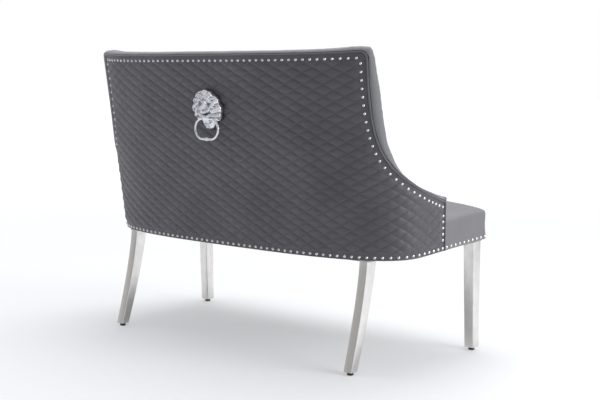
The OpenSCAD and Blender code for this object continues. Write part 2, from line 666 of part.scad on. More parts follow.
// Half of the front rail's outline, from its side inwards, with the corner cut off inside the cover's
// rounding
corner_cut = seat_corner_r - seat_skin_t;
front_rail_half = [[0, rail_t], [0, corner_cut], [corner_cut, 0]];
module front_seat_rail() {
    color("#c9a877")
        on_base()
            linear_extrude(height = rail_h)
                polygon([for (q = front_rail_half) [rail_face_x - q[0], rail_face_y + q[1]],
                    for (i = [2:-1:0]) let (q = front_rail_half[i]) [q[0] - rail_face_x,
                        rail_face_y + q[1]]]);
}
module side_seat_rail() {
    on_base()
        translate([rail_face_x - rail_t, rail_face_y + rail_t + seat_gap, 0])
            cube([rail_t, side_rail_end - rail_face_y - rail_t - 2 * seat_gap, rail_h]);
}
module side_seat_rail_right() {
    color("#c9a877") side_seat_rail();
}
module side_seat_rail_left() {
    color("#c9a877") mirror([1, 0, 0]) side_seat_rail();
}
// Outline of the curved part of the plan, inset from the lower edge
girth_cols = [-col_of(curve_len, shell_low_z), for (k = [-all_count:all_count])
    if (abs(k) < col_of(curve_len, shell_low_z)) k, col_of(curve_len, shell_low_z)];
function girth_line(inset) = [for (c = girth_cols) let (p = shell_pt(c, shell_low_z, inset)) [p[0], p[1]]];
side_rail_end = min(side_start_y, girth_line(rail_in)[0][1], girth_line(rail_out)[0][1]);
function reversed(list) = [for (i = [len(list) - 1:-1:0]) list[i]];
module rear_seat_rail() {
    color("#c9a877")
        on_base()
            linear_extrude(height = rail_h)
                polygon(concat(girth_line(rail_in + seat_gap), reversed(girth_line(rail_out))));
}
// Everything inside the rails
module inside_rails(h, clear) {
    linear_extrude(height = h)
        polygon(concat(girth_line(rail_out + clear),
            [[rail_face_x - rail_t - clear, rail_face_y + rail_t + clear],
            [-rail_face_x + rail_t + clear, rail_face_y + rail_t + clear]]));
}
module seat_cross_rails() {
    color("#c9a877")
        on_base()
            intersection() {
                inside_rails(block_h, seat_gap);
                for (s = [-1, 1])
                    translate([s * cross_rail_x - cross_rail_half, seat_front_y, 0])
                        cube([2 * cross_rail_half, shell_rear_low - seat_front_y, block_h]);
            }
}
module leg_blocks() {
    color("#b8935f")
        on_base()
            difference() {
                intersection() {
                    inside_rails(block_h, seat_gap);
                    for (leg = leg_list)
                        translate([leg[0] - plate_shift * leg[2][0] - plate_w / 2,
                            leg[1] - plate_shift * leg[2][1] - plate_w / 2, 0])
                            cube([plate_w, plate_w, block_h]);
                }
                leg_screw_holes();
            }
}
strap_land = 8;
// Everything under the shell and the seat, drawn in from the lower edge
module under_shell(inset, h) {
    linear_extrude(height = h)
        polygon(concat(girth_line(inset), [[rail_face_x - inset, rail_face_y + inset],
            [-rail_face_x + inset, rail_face_y + inset]]));
}
module seat_webbing() {
    span = 2 * (rail_face_x - rail_t) * 0.84;
    color("#3a3a3a")
        on_base() {
            intersection() {
                translate([0, 0, rail_h + seat_gap])
                    linear_extrude(height = strap_t)
                        polygon(concat(girth_line(rail_out - strap_land),
                            [[rail_face_x, rail_face_y + strap_t], [-rail_face_x, rail_face_y + strap_t]]));
                for (i = [0:strap_count - 1])
                    translate([-span / 2 + span * i / (strap_count - 1) - strap_w / 2, seat_front_y, rail_h])
                        cube([strap_w, shell_rear_low - seat_front_y, 2 * strap_t]);
            }
            for (y = [seat_front_y + 1.5 * strap_w, arm_front_y - 1.5 * strap_w])
                translate([-rail_face_x + strap_t, y, rail_h + strap_t + 2 * seat_gap])
                    cube([2 * (rail_face_x - strap_t), strap_w, strap_t]);
        }
}
module dust_cover() {
    color("#2b2b2b")
        on_base()
            difference() {
                translate([0, 0, -dust_t - seat_gap])
                    under_shell(rail_in + strap_land, dust_t);
                for (leg = leg_list)
                    translate([leg[0] - plate_shift * leg[2][0], leg[1] - plate_shift * leg[2][1], 0])
                        cube([plate_w + 2 * over, plate_w + 2 * over, 4 * dust_t + over], center = true);
            }
}

// Seat outline, from the middle of the front round one side to the middle of the rear
seat_rear_in = inner_board_in + seat_back_gap;
notch_y = arm_front_y - facing_t - 2 * seat_gap - 1.15 * seat_edge_h * sin(base_tilt_angle);
seat_line_z = arm_z - pad_edge_t;
curve_col = col_of(curve_len, seat_line_z);
seat_rear_steps = 13;
seat_side_in = shell_pt(curve_col, seat_line_z, 0)[0] - seat_half + arm_t;
corner_steps = 3;
function seat_half_line() = concat(
    [[0, seat_front_y, 1], [seat_half / 3, seat_front_y, 1], [2 * seat_half / 3, seat_front_y, 1]],
    [for (i = [0:corner_steps]) let (a = i * 90 / corner_steps)
        [seat_half - seat_corner_r + seat_corner_r * sin(a),
            seat_front_y + seat_corner_r - seat_corner_r * cos(a), 1]],
    [[seat_half, mix(seat_front_y, notch_y, 0.5), 1], [seat_half, notch_y - 3 * skin_t, 1], [seat_half,
        notch_y, 0],
    [seat_half - arm_t, notch_y, 0]],
    [for (k = [seat_rear_steps:-1:0]) let (c = curve_col * k / seat_rear_steps,
            t = clamp((c - back_count + 3) / 3, 0, 1),
            p = shell_pt(c, seat_line_z, mix(seat_rear_in, seat_side_in, t))) [p[0], p[1], 0]]);
function seat_line() = let (h = seat_half_line(), n = len(h))
    concat(h, [for (i = [n - 2:-1:1]) [-h[i][0], h[i][1], h[i][2]]]);
seat_mid = [0, mix(seat_front_y, shell_rear_low, 0.2365)];
seat_rings = [0.985, 0.95, 0.88, 0.74, 0.5, 0.25];
seat_round_share = 2.3;
function seat_crown(rho, edge, top) = edge + (top - edge) * pow(1 - pow(rho, seat_round_share),
    1 / seat_round_share);
// The outline drawn in evenly by t
function drawn_in(t) = let (p = seat_line(), n = len(p)) [for (i = [0:n - 1])
    let (o = p[(i + n - 1) % n], q = p[(i + 1) % n],
        a = unit([o[1] - p[i][1], p[i][0] - o[0]]), b = unit([p[i][1] - q[1], q[0] - p[i][0]]),
        m = (a + b) / (1 + a * b)) [p[i][0] + t * m[0], p[i][1] + t * m[1], p[i][2]]];
function seat_ring(t, rho, h) = [for (p = drawn_in(t)) let (w = mix(seat_mid, [p[0], p[1]], rho)) [w[0],
    w[1], h(p[2])]];
// Rings of the seat's skin, at depth t below its face
side_bulge_share = 1.004;
function seat_wall(t) = [
    seat_ring(t, 1, function (wrap) wrap > 0 ? seat_gap : web_h + 3 * seat_gap),
    seat_ring(t, 1, function (wrap) wrap > 0 ? 2 * nail_low_h + seat_gap : web_h + 5 * seat_gap),
    seat_ring(t, side_bulge_share, function (wrap) wrap > 0 ? seat_edge_h * 0.6 : web_h + 7 * seat_gap),
    seat_ring(t, 1, function (wrap) seat_edge_h)];
function seat_dome(t) = [for (rho = seat_rings)
    seat_ring(t, rho, function (wrap) seat_crown(rho, seat_edge_h, seat_crown_h) - t)];
// Faces of stacked rings, wound for an outer skin
function ring_faces(n, count, at) = [for (r = [0:count - 2]) for (i = [0:n - 1])
    let (a = at + r * n + i, b = at + r * n + (i + 1) % n) each tri_pair(a, a + n, b + n, b)];
function fan_faces(n, at, apex) = [for (i = [0:n - 1]) [at + i, apex, at + (i + 1) % n]];
module seat_cover() {
    n = len(seat_line());
    outer = concat(seat_wall(0), seat_dome(0));
    inner = concat(seat_wall(seat_skin_t), seat_dome(seat_skin_t));
    k = len(outer);
    apex = 2 * k * n;
    pts = concat([for (r = outer) each r], [for (r = inner) each r],
        [[seat_mid[0], seat_mid[1], seat_crown_h], [seat_mid[0], seat_mid[1], seat_crown_h - seat_skin_t]]);
    color("#77777c")
        on_base()
            polyhedron(points = pts, faces = concat(ring_faces(n, k, 0), fan_faces(n, (k - 1) * n, apex),
                flip(ring_faces(n, k, k * n)), flip(fan_faces(n, (2 * k - 1) * n, apex + 1)),
                [for (i = [0:n - 1]) let (j = (i + 1) % n) each tri_pair(i, j, k * n + j, k * n + i)]),
                convexity = 10);
}
module seat_foam() {
    n = len(seat_line());
    t = seat_skin_t + seat_gap;
    rings = concat([seat_ring(t, 1, function (wrap) web_h), seat_ring(t, 1,
        function (wrap) seat_edge_h - t)],
        seat_dome(t));
    k = len(rings);
    pts = concat([for (r = rings) each r],
        [[seat_mid[0], seat_mid[1], seat_crown_h - t], [seat_mid[0], seat_mid[1], web_h]]);
    color("#d8cfa8")
        on_base()
            polyhedron(points = pts, faces = concat(ring_faces(n, k, 0), fan_faces(n, (k - 1) * n, k * n),
                flip(fan_faces(n, 0, k * n + 1))), convexity = 10);
}

// Legs: place of the top, outward direction, and rake
leg_list = [[front_leg_x, front_leg_y, [1, -1], -front_leg_rake],
    [-front_leg_x, front_leg_y, [-1, -1], -front_leg_rake],
    [rear_leg_x, rear_leg_y, [1, 1], rear_leg_rake], [-rear_leg_x, rear_leg_y, [-1, 1], rear_leg_rake]];
leg_rings = 8;
function leg_top_z(leg) = base_z(leg[1]) - plate_t / cos(base_tilt_angle);
function leg_mid(leg, t) = [leg[0], leg[1] + leg[3] * pow(t, sabre_share)];
function leg_z(leg, t, y) = t == 0 ? base_z(y) - plate_t / cos(base_tilt_angle) : mix(leg_top_z(leg),
    leg_foot_z, t);
// Width and depth of a leg's section: square in front, tapering in depth alone behind
function leg_size(leg, t, shrink) = (leg[2][1] < 0 ? mix(leg_top_w, leg_foot_w, t) * [1, 1] :
    [rear_leg_w, mix(rear_leg_top_d, rear_leg_foot_d, t)]) - 2 * shrink * [1, 1];
// A rectangle with rounded corners, in three points a corner
function leg_square(w, r) = [for (i = [0:3]) for (j = [0:2]) let (a = i * 90 + j * 45)
    [sign(cos(i * 90 + 45)) * (w[0] / 2 - r) + r * cos(a),
        sign(sin(i * 90 + 45)) * (w[1] / 2 - r) + r * sin(a)]];
function leg_ring(leg, t, shrink) = let (m = leg_mid(leg, t))
    [for (q = leg_square(leg_size(leg, t, shrink), leg_edge_r - shrink / 2)) [m[0] + q[0], m[1] + q[1],
        leg_z(leg, t, m[1] + q[1])]];
function leg_shares(leg) = leg[3] == 0 ? [0, 1] : [for (i = [0:leg_rings]) i / leg_rings];
module tube_loft(outer, inner) {
    n = len(outer[0]);
    k = len(outer);
    polyhedron(points = concat([for (r = outer) each r], [for (r = inner) each r]),
        faces = concat(flip(ring_faces(n, k, 0)), ring_faces(n, k, k * n),
            [for (i = [0:n - 1]) let (j = (i + 1) % n) each tri_pair(j, i, k * n + i, k * n + j)],
            [for (i = [0:n - 1]) let (j = (i + 1) % n, a = (k - 1) * n, b = (2 * k - 1) * n)
                each tri_pair(a + i, a + j, b + j, b + i)]), convexity = 6);
}
module leg_tube(leg) {
    color("#c4c6c8")
        tube_loft([for (t = leg_shares(leg)) leg_ring(leg, t, 0)],
            [for (t = leg_shares(leg)) leg_ring(leg, t, leg_wall)]);
}
module front_leg_right() {
    leg_tube(leg_list[0]);
}
module front_leg_left() {
    leg_tube(leg_list[1]);
}
module rear_leg_right() {
    leg_tube(leg_list[2]);
}
module rear_leg_left() {
    leg_tube(leg_list[3]);
}
module leg_plates() {
    color("#b4b6b8")
        on_base()
            difference() {
                intersection() {
                    translate([0, 0, -plate_t])
                        under_shell(skin_t, plate_t);
                    for (leg = leg_list)
                        translate([leg[0] - plate_shift * leg[2][0] - plate_w / 2,
                            leg[1] - plate_shift * leg[2][1] - plate_w / 2, -plate_t])
                            cube([plate_w, plate_w, plate_t]);
                }
                leg_screw_holes();
            }
}
module leg_screws() {
    color("#9a9ca0")
        on_base()
            for (leg = leg_list) let (d = leg[2])
                for (q = screw_places)
                    translate([leg[0] - plate_shift * d[0] + screw_pitch * q[0] * d[0],
                        leg[1] - plate_shift * d[1] + screw_pitch * q[1] * d[1], -plate_t]) {
                        cylinder(d = screw_d, h = screw_l + plate_t);
                        translate([0, 0, -screw_d / 2])
                            cylinder(d = 2 * screw_d, h = screw_d / 2);
                    }
}
// Plug in a leg's end, with the bore of the glide's stem
function foot_share(leg, z) = (leg_top_z(leg) - z) / (leg_top_z(leg) - leg_foot_z);
module leg_plug(leg) {
    z1 = leg_foot_z + plug_h;
    rings = [for (z = [leg_foot_z, z1]) let (t = foot_share(leg, z), m = leg_mid(leg, t))
        [for (q = leg_square(leg_size(leg, t, leg_wall + seat_gap), leg_edge_r - leg_wall / 2))
            [m[0] + q[0], m[1] + q[1], z]]];
    n = len(rings[0]);
    difference() {
        polyhedron(points = concat(rings[0], rings[1]), faces = concat(
            [for (i = [0:n - 1]) let (j = (i + 1) % n) each tri_pair(i, n + i, n + j, j)],
            [[for (i = [0:n - 1]) i], [for (i = [n - 1:-1:0]) n + i]]));
        translate([leg_mid(leg, 1)[0], leg_mid(leg, 1)[1], leg_foot_z - over])
            cylinder(d = stem_d + run_fit, h = plug_h + 2 * over);
    }
}
module leg_plugs() {
    color("#222222")
        for (leg = leg_list)
            leg_plug(leg);
}
glide_edge = 1.5;
module glide(leg) {
    foot_h = leg_foot_z - seat_gap;
    color("#1c1c1c")
        translate([leg_mid(leg, 1)[0], leg_mid(leg, 1)[1], 0])
            rotate_extrude()
                polygon([[0, 0], [glide_d / 2 - glide_edge, 0], [glide_d / 2, glide_edge],
                    [glide_d / 2, foot_h - glide_edge], [glide_d / 2 - glide_edge, foot_h], [stem_d / 2,
                        foot_h],
                    [stem_d / 2, foot_h + stem_l - glide_edge], [stem_d / 2 - glide_edge, foot_h + stem_l],
                    [0, foot_h + stem_l]]);
}
module glide_front_right() {
    glide(leg_list[0]);
}
module glide_front_left() {
    glide(leg_list[1]);
}
module glide_rear_right() {
    glide(leg_list[2]);
}
module glide_rear_left() {
    glide(leg_list[3]);
}

// Domed nails
module nail() {
    r = (nail_d * nail_d / 4 + nail_h * nail_h) / (2 * nail_h);
    rotate_extrude()
        intersection() {
            translate([0, nail_h - r])
                circle(r);
            square([nail_d, nail_h + over]);
        }
}
// Sets a nail on the shell at girth s and height z
nail_feel = 4;
module nail_on_shell(s, z) {
    at = shell_sz(s, z, quilt_depth - seat_gap);
    c = col_of(abs(s), z);
    k = floor(c);
    across = unit(col_pt(k + 1, z, 0) - col_pt(k, z, 0));
    side = [s < 0 ? -across[0] : across[0], across[1], 0];
    lift = shell_sz(s, z + nail_feel, 0) - shell_sz(s, z - nail_feel, 0);
    n0 = unit(cross(lift, side));
    n = n0 * [sign(s), 1, 0] < 0 ? -n0 : n0;
    u = unit(cross(n, side));
    multmatrix([[side[0], u[0], n[0], at[0]], [side[1], u[1], n[1], at[1]], [side[2], u[2], n[2], at[2]]])
        nail();
}
// Even places along a line of girth and height
function line_lengths(p) = [for (i = 0, d = 0; i < len(p); d = d + (i + 1 < len(p) ?
    norm(shell_sz(p[i + 1][0], p[i + 1][1], 0) - shell_sz(p[i][0], p[i][1], 0)) : 0), i = i + 1) d];
function even_places(p) = let (d = line_lengths(p), total = d[len(d) - 1], n = round(total / nail_pitch))
    [for (i = [0:n]) let (x = total * i / n)
        [lookup(x, [for (j = [0:len(p) - 1]) [d[j], p[j][0]]]), lookup(x,
            [for (j = [0:len(p) - 1]) [d[j], p[j][1]]])]];
function inset_path(p, off) = let (m = mitres(p)) [for (i = [0:len(p) - 1]) p[i] - off * m[i]];
function dense(p) = [for (i = [0:len(p) - 2]) each [p[i], mix(p[i], p[i + 1], 0.5)], p[len(p) - 1]];
module back_edge_nails() {
    path = inset_path(half_path(), nail_inset);
    line = [for (q = dense(path)) if (q[0] < front_s - nail_low_h) q];
    places = even_places(line);
    color("#d0d2d4")
        for (q = places)
            for (side = [-1, 1])
                if (side > 0 || q[0] > nail_pitch / 4)
                    nail_on_shell(side * q[0], q[1]);
}
module lower_edge_nails() {
    line = [for (k = [0:all_count]) let (c = min(k, all_count - 0.4)) [col_s_at(c), low_z(c) + nail_low_h]];
    front = [for (v = [0:4]) [front_s - nail_low_h, mix(low_z(all_count) + nail_low_h + nail_pitch,
        arm_z - nail_inset - nail_pitch, v / 4)]];
    color("#d0d2d4") {
        for (q = even_places(line))
            for (side = [-1, 1])
                if (side > 0 || q[0] > nail_pitch / 4)
                    nail_on_shell(side * q[0], q[1]);
        for (q = front)
            for (side = [-1, 1])
                nail_on_shell(side * q[0], q[1]);
    }
}
function col_s_at(c) = mix(col_s(floor(c), shell_low_z), col_s(floor(c) + 1, shell_low_z), c - floor(c));
module seat_edge_nails() {
    y1 = notch_y - 2 * skin_t - nail_d / 2;
    y0 = seat_front_y + seat_corner_r;
    x1 = seat_half - seat_corner_r;
    n_side = round((y1 - y0) / nail_pitch);
    n_front = round(2 * x1 / nail_pitch);
    color("#d0d2d4")
        on_base() {
            for (side = [-1, 1])
                for (i = [0:n_side])
                    translate([side * (seat_half + seat_gap), mix(y0, y1, i / n_side),
                        nail_low_h + seat_gap])
                        rotate([0, side * 90, 0])
                            nail();
            for (i = [0:n_front])
                translate([mix(-x1, x1, i / n_front), seat_front_y - seat_gap, nail_low_h + seat_gap])
                    rotate([90, 0, 0])
                        nail();
        }
}

// Lion mask: a polar relief with a mane of locks, a brow, cheeks and a muzzle, and a jaw block
mask_sectors = 32;
mask_ring_shares = [0.16, 0.32, 0.46, 0.6, 0.74, 0.87, 1];
lock_count = 8;
function bell(u, w) = exp(-u * u / (w * w));
function mane_r(a) = mane_half * (0.9 + 0.1 * cos(lock_count * 2 * a)) *
    mix(1, 0.62, pow(max(0, -sin(a)), 3)) * mix(1, 0.84, pow(max(0, sin(a)), 4));
function relief(x, u, rho, a) = let (w = mane_half)
    mask_depth * (0.2 + 0.32 * pow(1 - rho * rho, 0.5) + 0.09 * rho * cos(lock_count * 2 * a)
        + 0.48 * bell(x, 0.26 * w) * bell(u + 0.22 * w, 0.32 * w)
        + 0.12 * bell(abs(x) - 0.3 * w, 0.16 * w) * bell(u - 0.28 * w, 0.14 * w)
        - 0.1 * bell(abs(x) - 0.3 * w, 0.12 * w) * bell(u - 0.06 * w, 0.1 * w));
function mask_pt(rho, a) = let (r = mane_r(a) * rho, x = r * cos(a), u = r * sin(a))
    [x, rho == 1 ? mask_depth * 0.16 : relief(x, u, rho, a), u];
module lion_mask() {
    n = mask_sectors;
    k = len(mask_ring_shares);
    rings = [for (rho = mask_ring_shares) [for (i = [0:n - 1]) mask_pt(rho, i * 360 / n)]];
    foot = [for (p = rings[k - 1]) [p[0], seat_gap, p[2]]];
    pts = concat([for (r = rings) each r], foot, [mask_pt(0, 0), [0, seat_gap, 0]]);
    color("#cfd1d3")
        on_back()
            difference() {
                union() {
                    polyhedron(points = pts, faces = concat(ring_faces(n, k + 1, 0),
                        flip(fan_faces(n, 0, (k + 1) * n)), fan_faces(n, k * n, (k + 1) * n + 1)),
                            convexity = 6);
                    hull() {
                        translate([-jaw_half, seat_gap, -pin_drop - 1.5 * ring_rod_d])
                            cube([2 * jaw_half, pin_out, 2.5 * ring_rod_d]);
                        translate([-jaw_half * 0.8, pin_out, -pin_drop - 2.4 * ring_rod_d])
                            cube([1.6 * jaw_half, ring_rod_d, ring_rod_d]);
                        translate([-jaw_half * 0.8, pin_out, -pin_drop + ring_rod_d])
                            cube([1.6 * jaw_half, 1.6 * ring_rod_d, ring_rod_d]);
                    }
                }
                translate([-mane_half, pin_out, -pin_drop])
                    rotate([0, 90, 0])
                        cylinder(d = ring_rod_d + run_fit, h = 2 * mane_half);
                for (u = [-1, 1])
                    translate([0, seat_gap - over, u * knocker_screw_up])
                        rotate([-90, 0, 0])
                            cylinder(d = knocker_screw_d + hole_fit, h = 3 * knocker_screw_d + over);
            }
}
// The ring: two straight rods and two half turns, hanging from the upper rod
pin_y = mix(shell_rear_low, shell_rear_top,
    rise(mask_z)) + pin_out * cos(lean_angle()) - pin_drop * sin(lean_angle());
pin_z = mask_z - pin_drop * cos(lean_angle()) - pin_out * sin(lean_angle());
collar_r = 0.62 * ring_rod_d;
neck_r = 0.55 * ring_rod_d;
module knocker_ring() {
    color("#cfd1d3")
        translate([0, pin_y, pin_z]) {
            for (z = [0, -ring_h])
                translate([-ring_rod_l / 2, 0, z])
                    rotate([0, 90, 0])
                        cylinder(d = ring_rod_d, h = ring_rod_l);
            for (s = [-1, 1])
                translate([s * ring_rod_l / 2, 0, -ring_h / 2])
                    rotate([90, 0, s > 0 ? 0 : 180])
                        rotate([0, 0, -90])
                            rotate_extrude(angle = 180)
                                translate([ring_h / 2, 0])
                                    circle(d = ring_rod_d);
            translate([0, 0, -ring_h])
                rotate([0, 90, 0])
                    rotate_extrude()
                        polygon([[0, -1.1 * boss_d], [collar_r, -1.1 * boss_d], [collar_r, -0.9 * boss_d],
                            [neck_r, -0.6 * boss_d], [boss_d / 2, -0.2 * boss_d], [boss_d / 2, 0.2 * boss_d],
                            [neck_r, 0.6 * boss_d], [collar_r, 0.9 * boss_d], [collar_r, 1.1 * boss_d],
                            [0, 1.1 * boss_d]]);
        }
}

quilted_back_cover();
welt_cord();
edge_roll();
inner_back_cover();
inner_arm_cover_left();
inner_arm_cover_right();
arm_facing_left();
arm_facing_right();
back_foam();
arm_foam_left();
arm_foam_right();
outer_back_board();
outer_arm_board_left();
outer_arm_board_right();
inner_back_board();
back_uprights();
back_top_rail();
back_middle_rail();
back_lower_rail();
arm_rail_left();
arm_rail_right();
knocker_block();
front_seat_rail();
rear_seat_rail();
side_seat_rail_left();
side_seat_rail_right();
seat_cross_rails();
leg_blocks();
seat_webbing();
seat_foam();
seat_cover();
dust_cover();
back_edge_nails();
lower_edge_nails();
seat_edge_nails();
lion_mask();
knocker_ring();
knocker_screws();
front_leg_left();
front_leg_right();
rear_leg_left();
rear_leg_right();
leg_plates();
leg_screws();
leg_plugs();
glide_front_left();
glide_front_right();
glide_rear_left();
glide_rear_right();
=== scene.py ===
"""High back waiting bench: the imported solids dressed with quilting, leather, nails and bright metal."""

import json
import logging
import math
from dataclasses import dataclass, field
from enum import Enum
from functools import partial
from typing import Callable, Sequence

import bpy
import numpy as np
from mathutils import Matrix, Vector
from mathutils.kdtree import KDTree


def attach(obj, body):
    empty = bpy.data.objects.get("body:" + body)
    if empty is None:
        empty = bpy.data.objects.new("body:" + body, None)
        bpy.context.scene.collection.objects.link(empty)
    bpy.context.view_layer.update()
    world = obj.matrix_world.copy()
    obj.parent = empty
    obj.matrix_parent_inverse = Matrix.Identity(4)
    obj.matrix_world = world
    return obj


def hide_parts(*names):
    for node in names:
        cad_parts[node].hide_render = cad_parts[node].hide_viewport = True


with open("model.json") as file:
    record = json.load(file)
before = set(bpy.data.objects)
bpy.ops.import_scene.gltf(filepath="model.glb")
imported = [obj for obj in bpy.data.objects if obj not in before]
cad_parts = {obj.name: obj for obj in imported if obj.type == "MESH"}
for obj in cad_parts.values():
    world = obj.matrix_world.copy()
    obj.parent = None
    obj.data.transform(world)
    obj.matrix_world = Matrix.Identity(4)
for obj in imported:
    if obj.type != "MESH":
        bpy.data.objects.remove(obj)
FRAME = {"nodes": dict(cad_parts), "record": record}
LOG = logging.getLogger("bench")
MM = 0.001
BENCH = "bench"
MERGE_GAP = 1e-5
Array = np.ndarray
Colour = tuple[float, float, float]
Piece = bpy.types.Object
Socket = bpy.types.NodeSocket
Sockets = dict[str, Socket]


class Side(Enum):
    """The two sides of the bench, by the sign of X."""

    RIGHT = 1.0
    LEFT = -1.0

    @property
    def word(self) -> str:
        """The side's word in the names of nodes."""
        return self.name.lower()


class NodeDesk:
    """Adds and joins nodes in one node tree."""

    def __init__(self, tree: bpy.types.NodeTree) -> None:
        """Keeps the tree.

        Args:
            tree: The node tree to work in.
        """
        self.tree = tree

    def add(self, kind: str, **settings: object) -> bpy.types.Node:
        """Adds a node and sets its plain properties.

        Args:
            kind: The node's type name.
            **settings: Properties to set on it.

        Returns:
            The new node.
        """
        made = self.tree.nodes.new(kind)
        for name, value in settings.items():
            setattr(made, name, value)
        return made

    def join(self, start: Socket, end: Socket) -> None:
        """Links an output to an input."""
        self.tree.links.new(start, end)

    def fill(self, slot: Socket, given: object) -> None:
        """Links a socket to an input, or sets the input to a plain value."""
        if isinstance(given, Socket):
            self.join(given, slot)
        else:
            slot.default_value = given

    def maths(self, way: str, first: object, second: object = 0.0) -> Socket:
        """Adds a Math node.

        Args:
            way: Its operation.
            first: A socket or a number.
            second: A socket or a number.

        Returns:
            The node's output.
        """
        made = self.add("ShaderNodeMath", operation=way)
        self.fill(made.inputs[0], first)
        self.fill(made.inputs[1], second)
        return made.outputs[0]

    def times(self, first: object, second: object) -> Socket:
        """Multiplies two values."""
        return self.maths("MULTIPLY", first, second)

    def weigh(self, first: Socket, first_share: float, second: Socket, second_share: float) -> Socket:
        """Adds two values, each times its share."""
        return self.maths("ADD", self.times(first, first_share), self.times(second, second_share))

    def noise(self, where: Socket, scale: float, detail: float = 3.0, rough: float = 0.5) -> Socket:
        """Adds a noise pattern.

        Args:
            where: The coordinates.
            scale: Waves to a metre.
            detail: Octaves.
            rough: How strong the fine octaves are.

        Returns:
            The pattern, from 0 to 1.
        """
        made = self.add("ShaderNodeTexNoise")
        for title, given in (("Scale", scale), ("Detail", detail), ("Roughness", rough), ("Vector", where)):
            self.fill(made.inputs[title], given)
        return made.outputs["Fac"]

    def stretch(self, where: Socket, scale: Sequence[float], turn: Sequence[float] = (0, 0, 0)) -> Socket:
        """Scales and turns coordinates.

        Args:
            where: The coordinates.
            scale: Factor along each axis.
            turn: Rotation about each axis, in radians.

        Returns:
            The new coordinates.
        """
        made = self.add("ShaderNodeMapping")
        for title, given in (("Scale", scale), ("Rotation", turn), ("Vector", where)):
            self.fill(made.inputs[title], given)
        return made.outputs[0]

    def remap(self, value: Socket, low: float, high: float,
              out_low: float = 0.0, out_high: float = 1.0) -> Socket:
        """Maps a range of values onto another, clamped.

        Args:
            value: What is mapped.
            low: Value that gives out_low.
            high: Value that gives out_high.
            out_low: Result at low.
            out_high: Result at high.

        Returns:
            The mapped value.
        """
        made = self.add("ShaderNodeMapRange")
        for slot, given in zip(made.inputs, (value, low, high, out_low, out_high)):
            self.fill(slot, given)
        return made.outputs[0]

    def blend(self, amount: Socket, first: object, second: object) -> Socket:
        """Mixes two colours.

        Args:
            amount: 0 for the first, 1 for the second.
            first: A socket or an RGB colour.
            second: A socket or an RGB colour.

        Returns:
            The mixed colour.
        """
        made = self.add("ShaderNodeMix", data_type="RGBA")
        self.join(amount, made.inputs["Factor"])
        for slot, given in ((made.inputs[6], first), (made.inputs[7], second)):
            self.fill(slot, given if isinstance(given, Socket) else (*given, 1.0))
        return made.outputs[2]


def shared_group(name: str, takes: dict[str, str], gives: dict[str, str]) -> Callable:
    """Turns a function that fills a shader group into one that gives the group, made once.

    Args:
        name: The group's name.
        takes: Input names and their socket types.
        gives: Output names and their socket types.

    Returns:
        The decorator.
    """

    def decorate(build: Callable[[NodeDesk, Sockets, Sockets], None]) -> Callable[[], bpy.types.NodeTree]:
        """Wraps the function that fills the group from its inputs to its outputs."""

        def give() -> bpy.types.NodeTree:
            """Finds the group, or makes and fills it."""
            tree = bpy.data.node_groups.get(name)
            if tree is None:
                tree = bpy.data.node_groups.new(name, "ShaderNodeTree")
                for way, titles in (("INPUT", takes), ("OUTPUT", gives)):
                    for title, kind in titles.items():
                        tree.interface.new_socket(name=title, in_out=way, socket_type=kind)
                desk = NodeDesk(tree)
                start, end = desk.add("NodeGroupInput"), desk.add("NodeGroupOutput")
                build(desk, {t: start.outputs[t] for t in takes}, {t: end.inputs[t] for t in gives})
            return tree

        return give

    return decorate


NUMBER, PLACE = "NodeSocketFloat", "NodeSocketVector"
RELIEF = {"Height": NUMBER, "Tone": NUMBER}
STITCHES_PER_DIAMOND = 9


@shared_group("Leather grain", {"Vector": PLACE, "Pores": NUMBER}, RELIEF)
def leather_grain(desk: NodeDesk, took: Sockets, gave: Sockets) -> None:
    """Pebbled grain with creases and slow mottling: Height, and Tone for colour and gloss."""
    cells = desk.add("ShaderNodeTexVoronoi", feature="DISTANCE_TO_EDGE")
    desk.join(took["Vector"], cells.inputs["Vector"])
    desk.join(took["Pores"], cells.inputs["Scale"])
    pebble = desk.remap(cells.outputs["Distance"], 0.0, 0.16)
    crease = desk.remap(desk.noise(took["Vector"], 75.0, 5.0, 0.62), 0.42, 0.6)
    desk.join(desk.weigh(pebble, 0.7, crease, 0.5), gave["Height"])
    desk.join(desk.weigh(desk.noise(took["Vector"], 7.0), 0.7, pebble, 0.3), gave["Tone"])


@shared_group("Wear marks", {"Vector": PLACE, "Amount": NUMBER}, {"Mask": NUMBER})
def wear_marks(desk: NodeDesk, took: Sockets, gave: Sockets) -> None:
    """Soft scuffs and dust, from wide patches and short scratches: Mask."""
    patch = desk.remap(desk.noise(took["Vector"], 5.0, 4.0, 0.6), 0.5, 0.78)
    scratch = desk.noise(desk.stretch(took["Vector"], (260, 60, 140), (0.3, 0.2, 0.9)), 1.0)
    desk.join(desk.times(desk.times(patch, desk.remap(scratch, 0.5, 0.7)), took["Amount"]), gave["Mask"])


@shared_group("Brushed grain", {"Vector": PLACE}, RELIEF)
def brushed_grain(desk: NodeDesk, took: Sockets, gave: Sockets) -> None:
    """Fine lines along a leg or a plate: Height and Tone."""
    lines = desk.noise(desk.stretch(took["Vector"], (900, 900, 9)), 1.0, 4.0, 0.6)
    smear = desk.noise(desk.stretch(took["Vector"], (14, 14, 5)), 1.0, 2.0)
    desk.join(lines, gave["Height"])
    desk.join(desk.weigh(lines, 0.45, smear, 0.55), gave["Tone"])


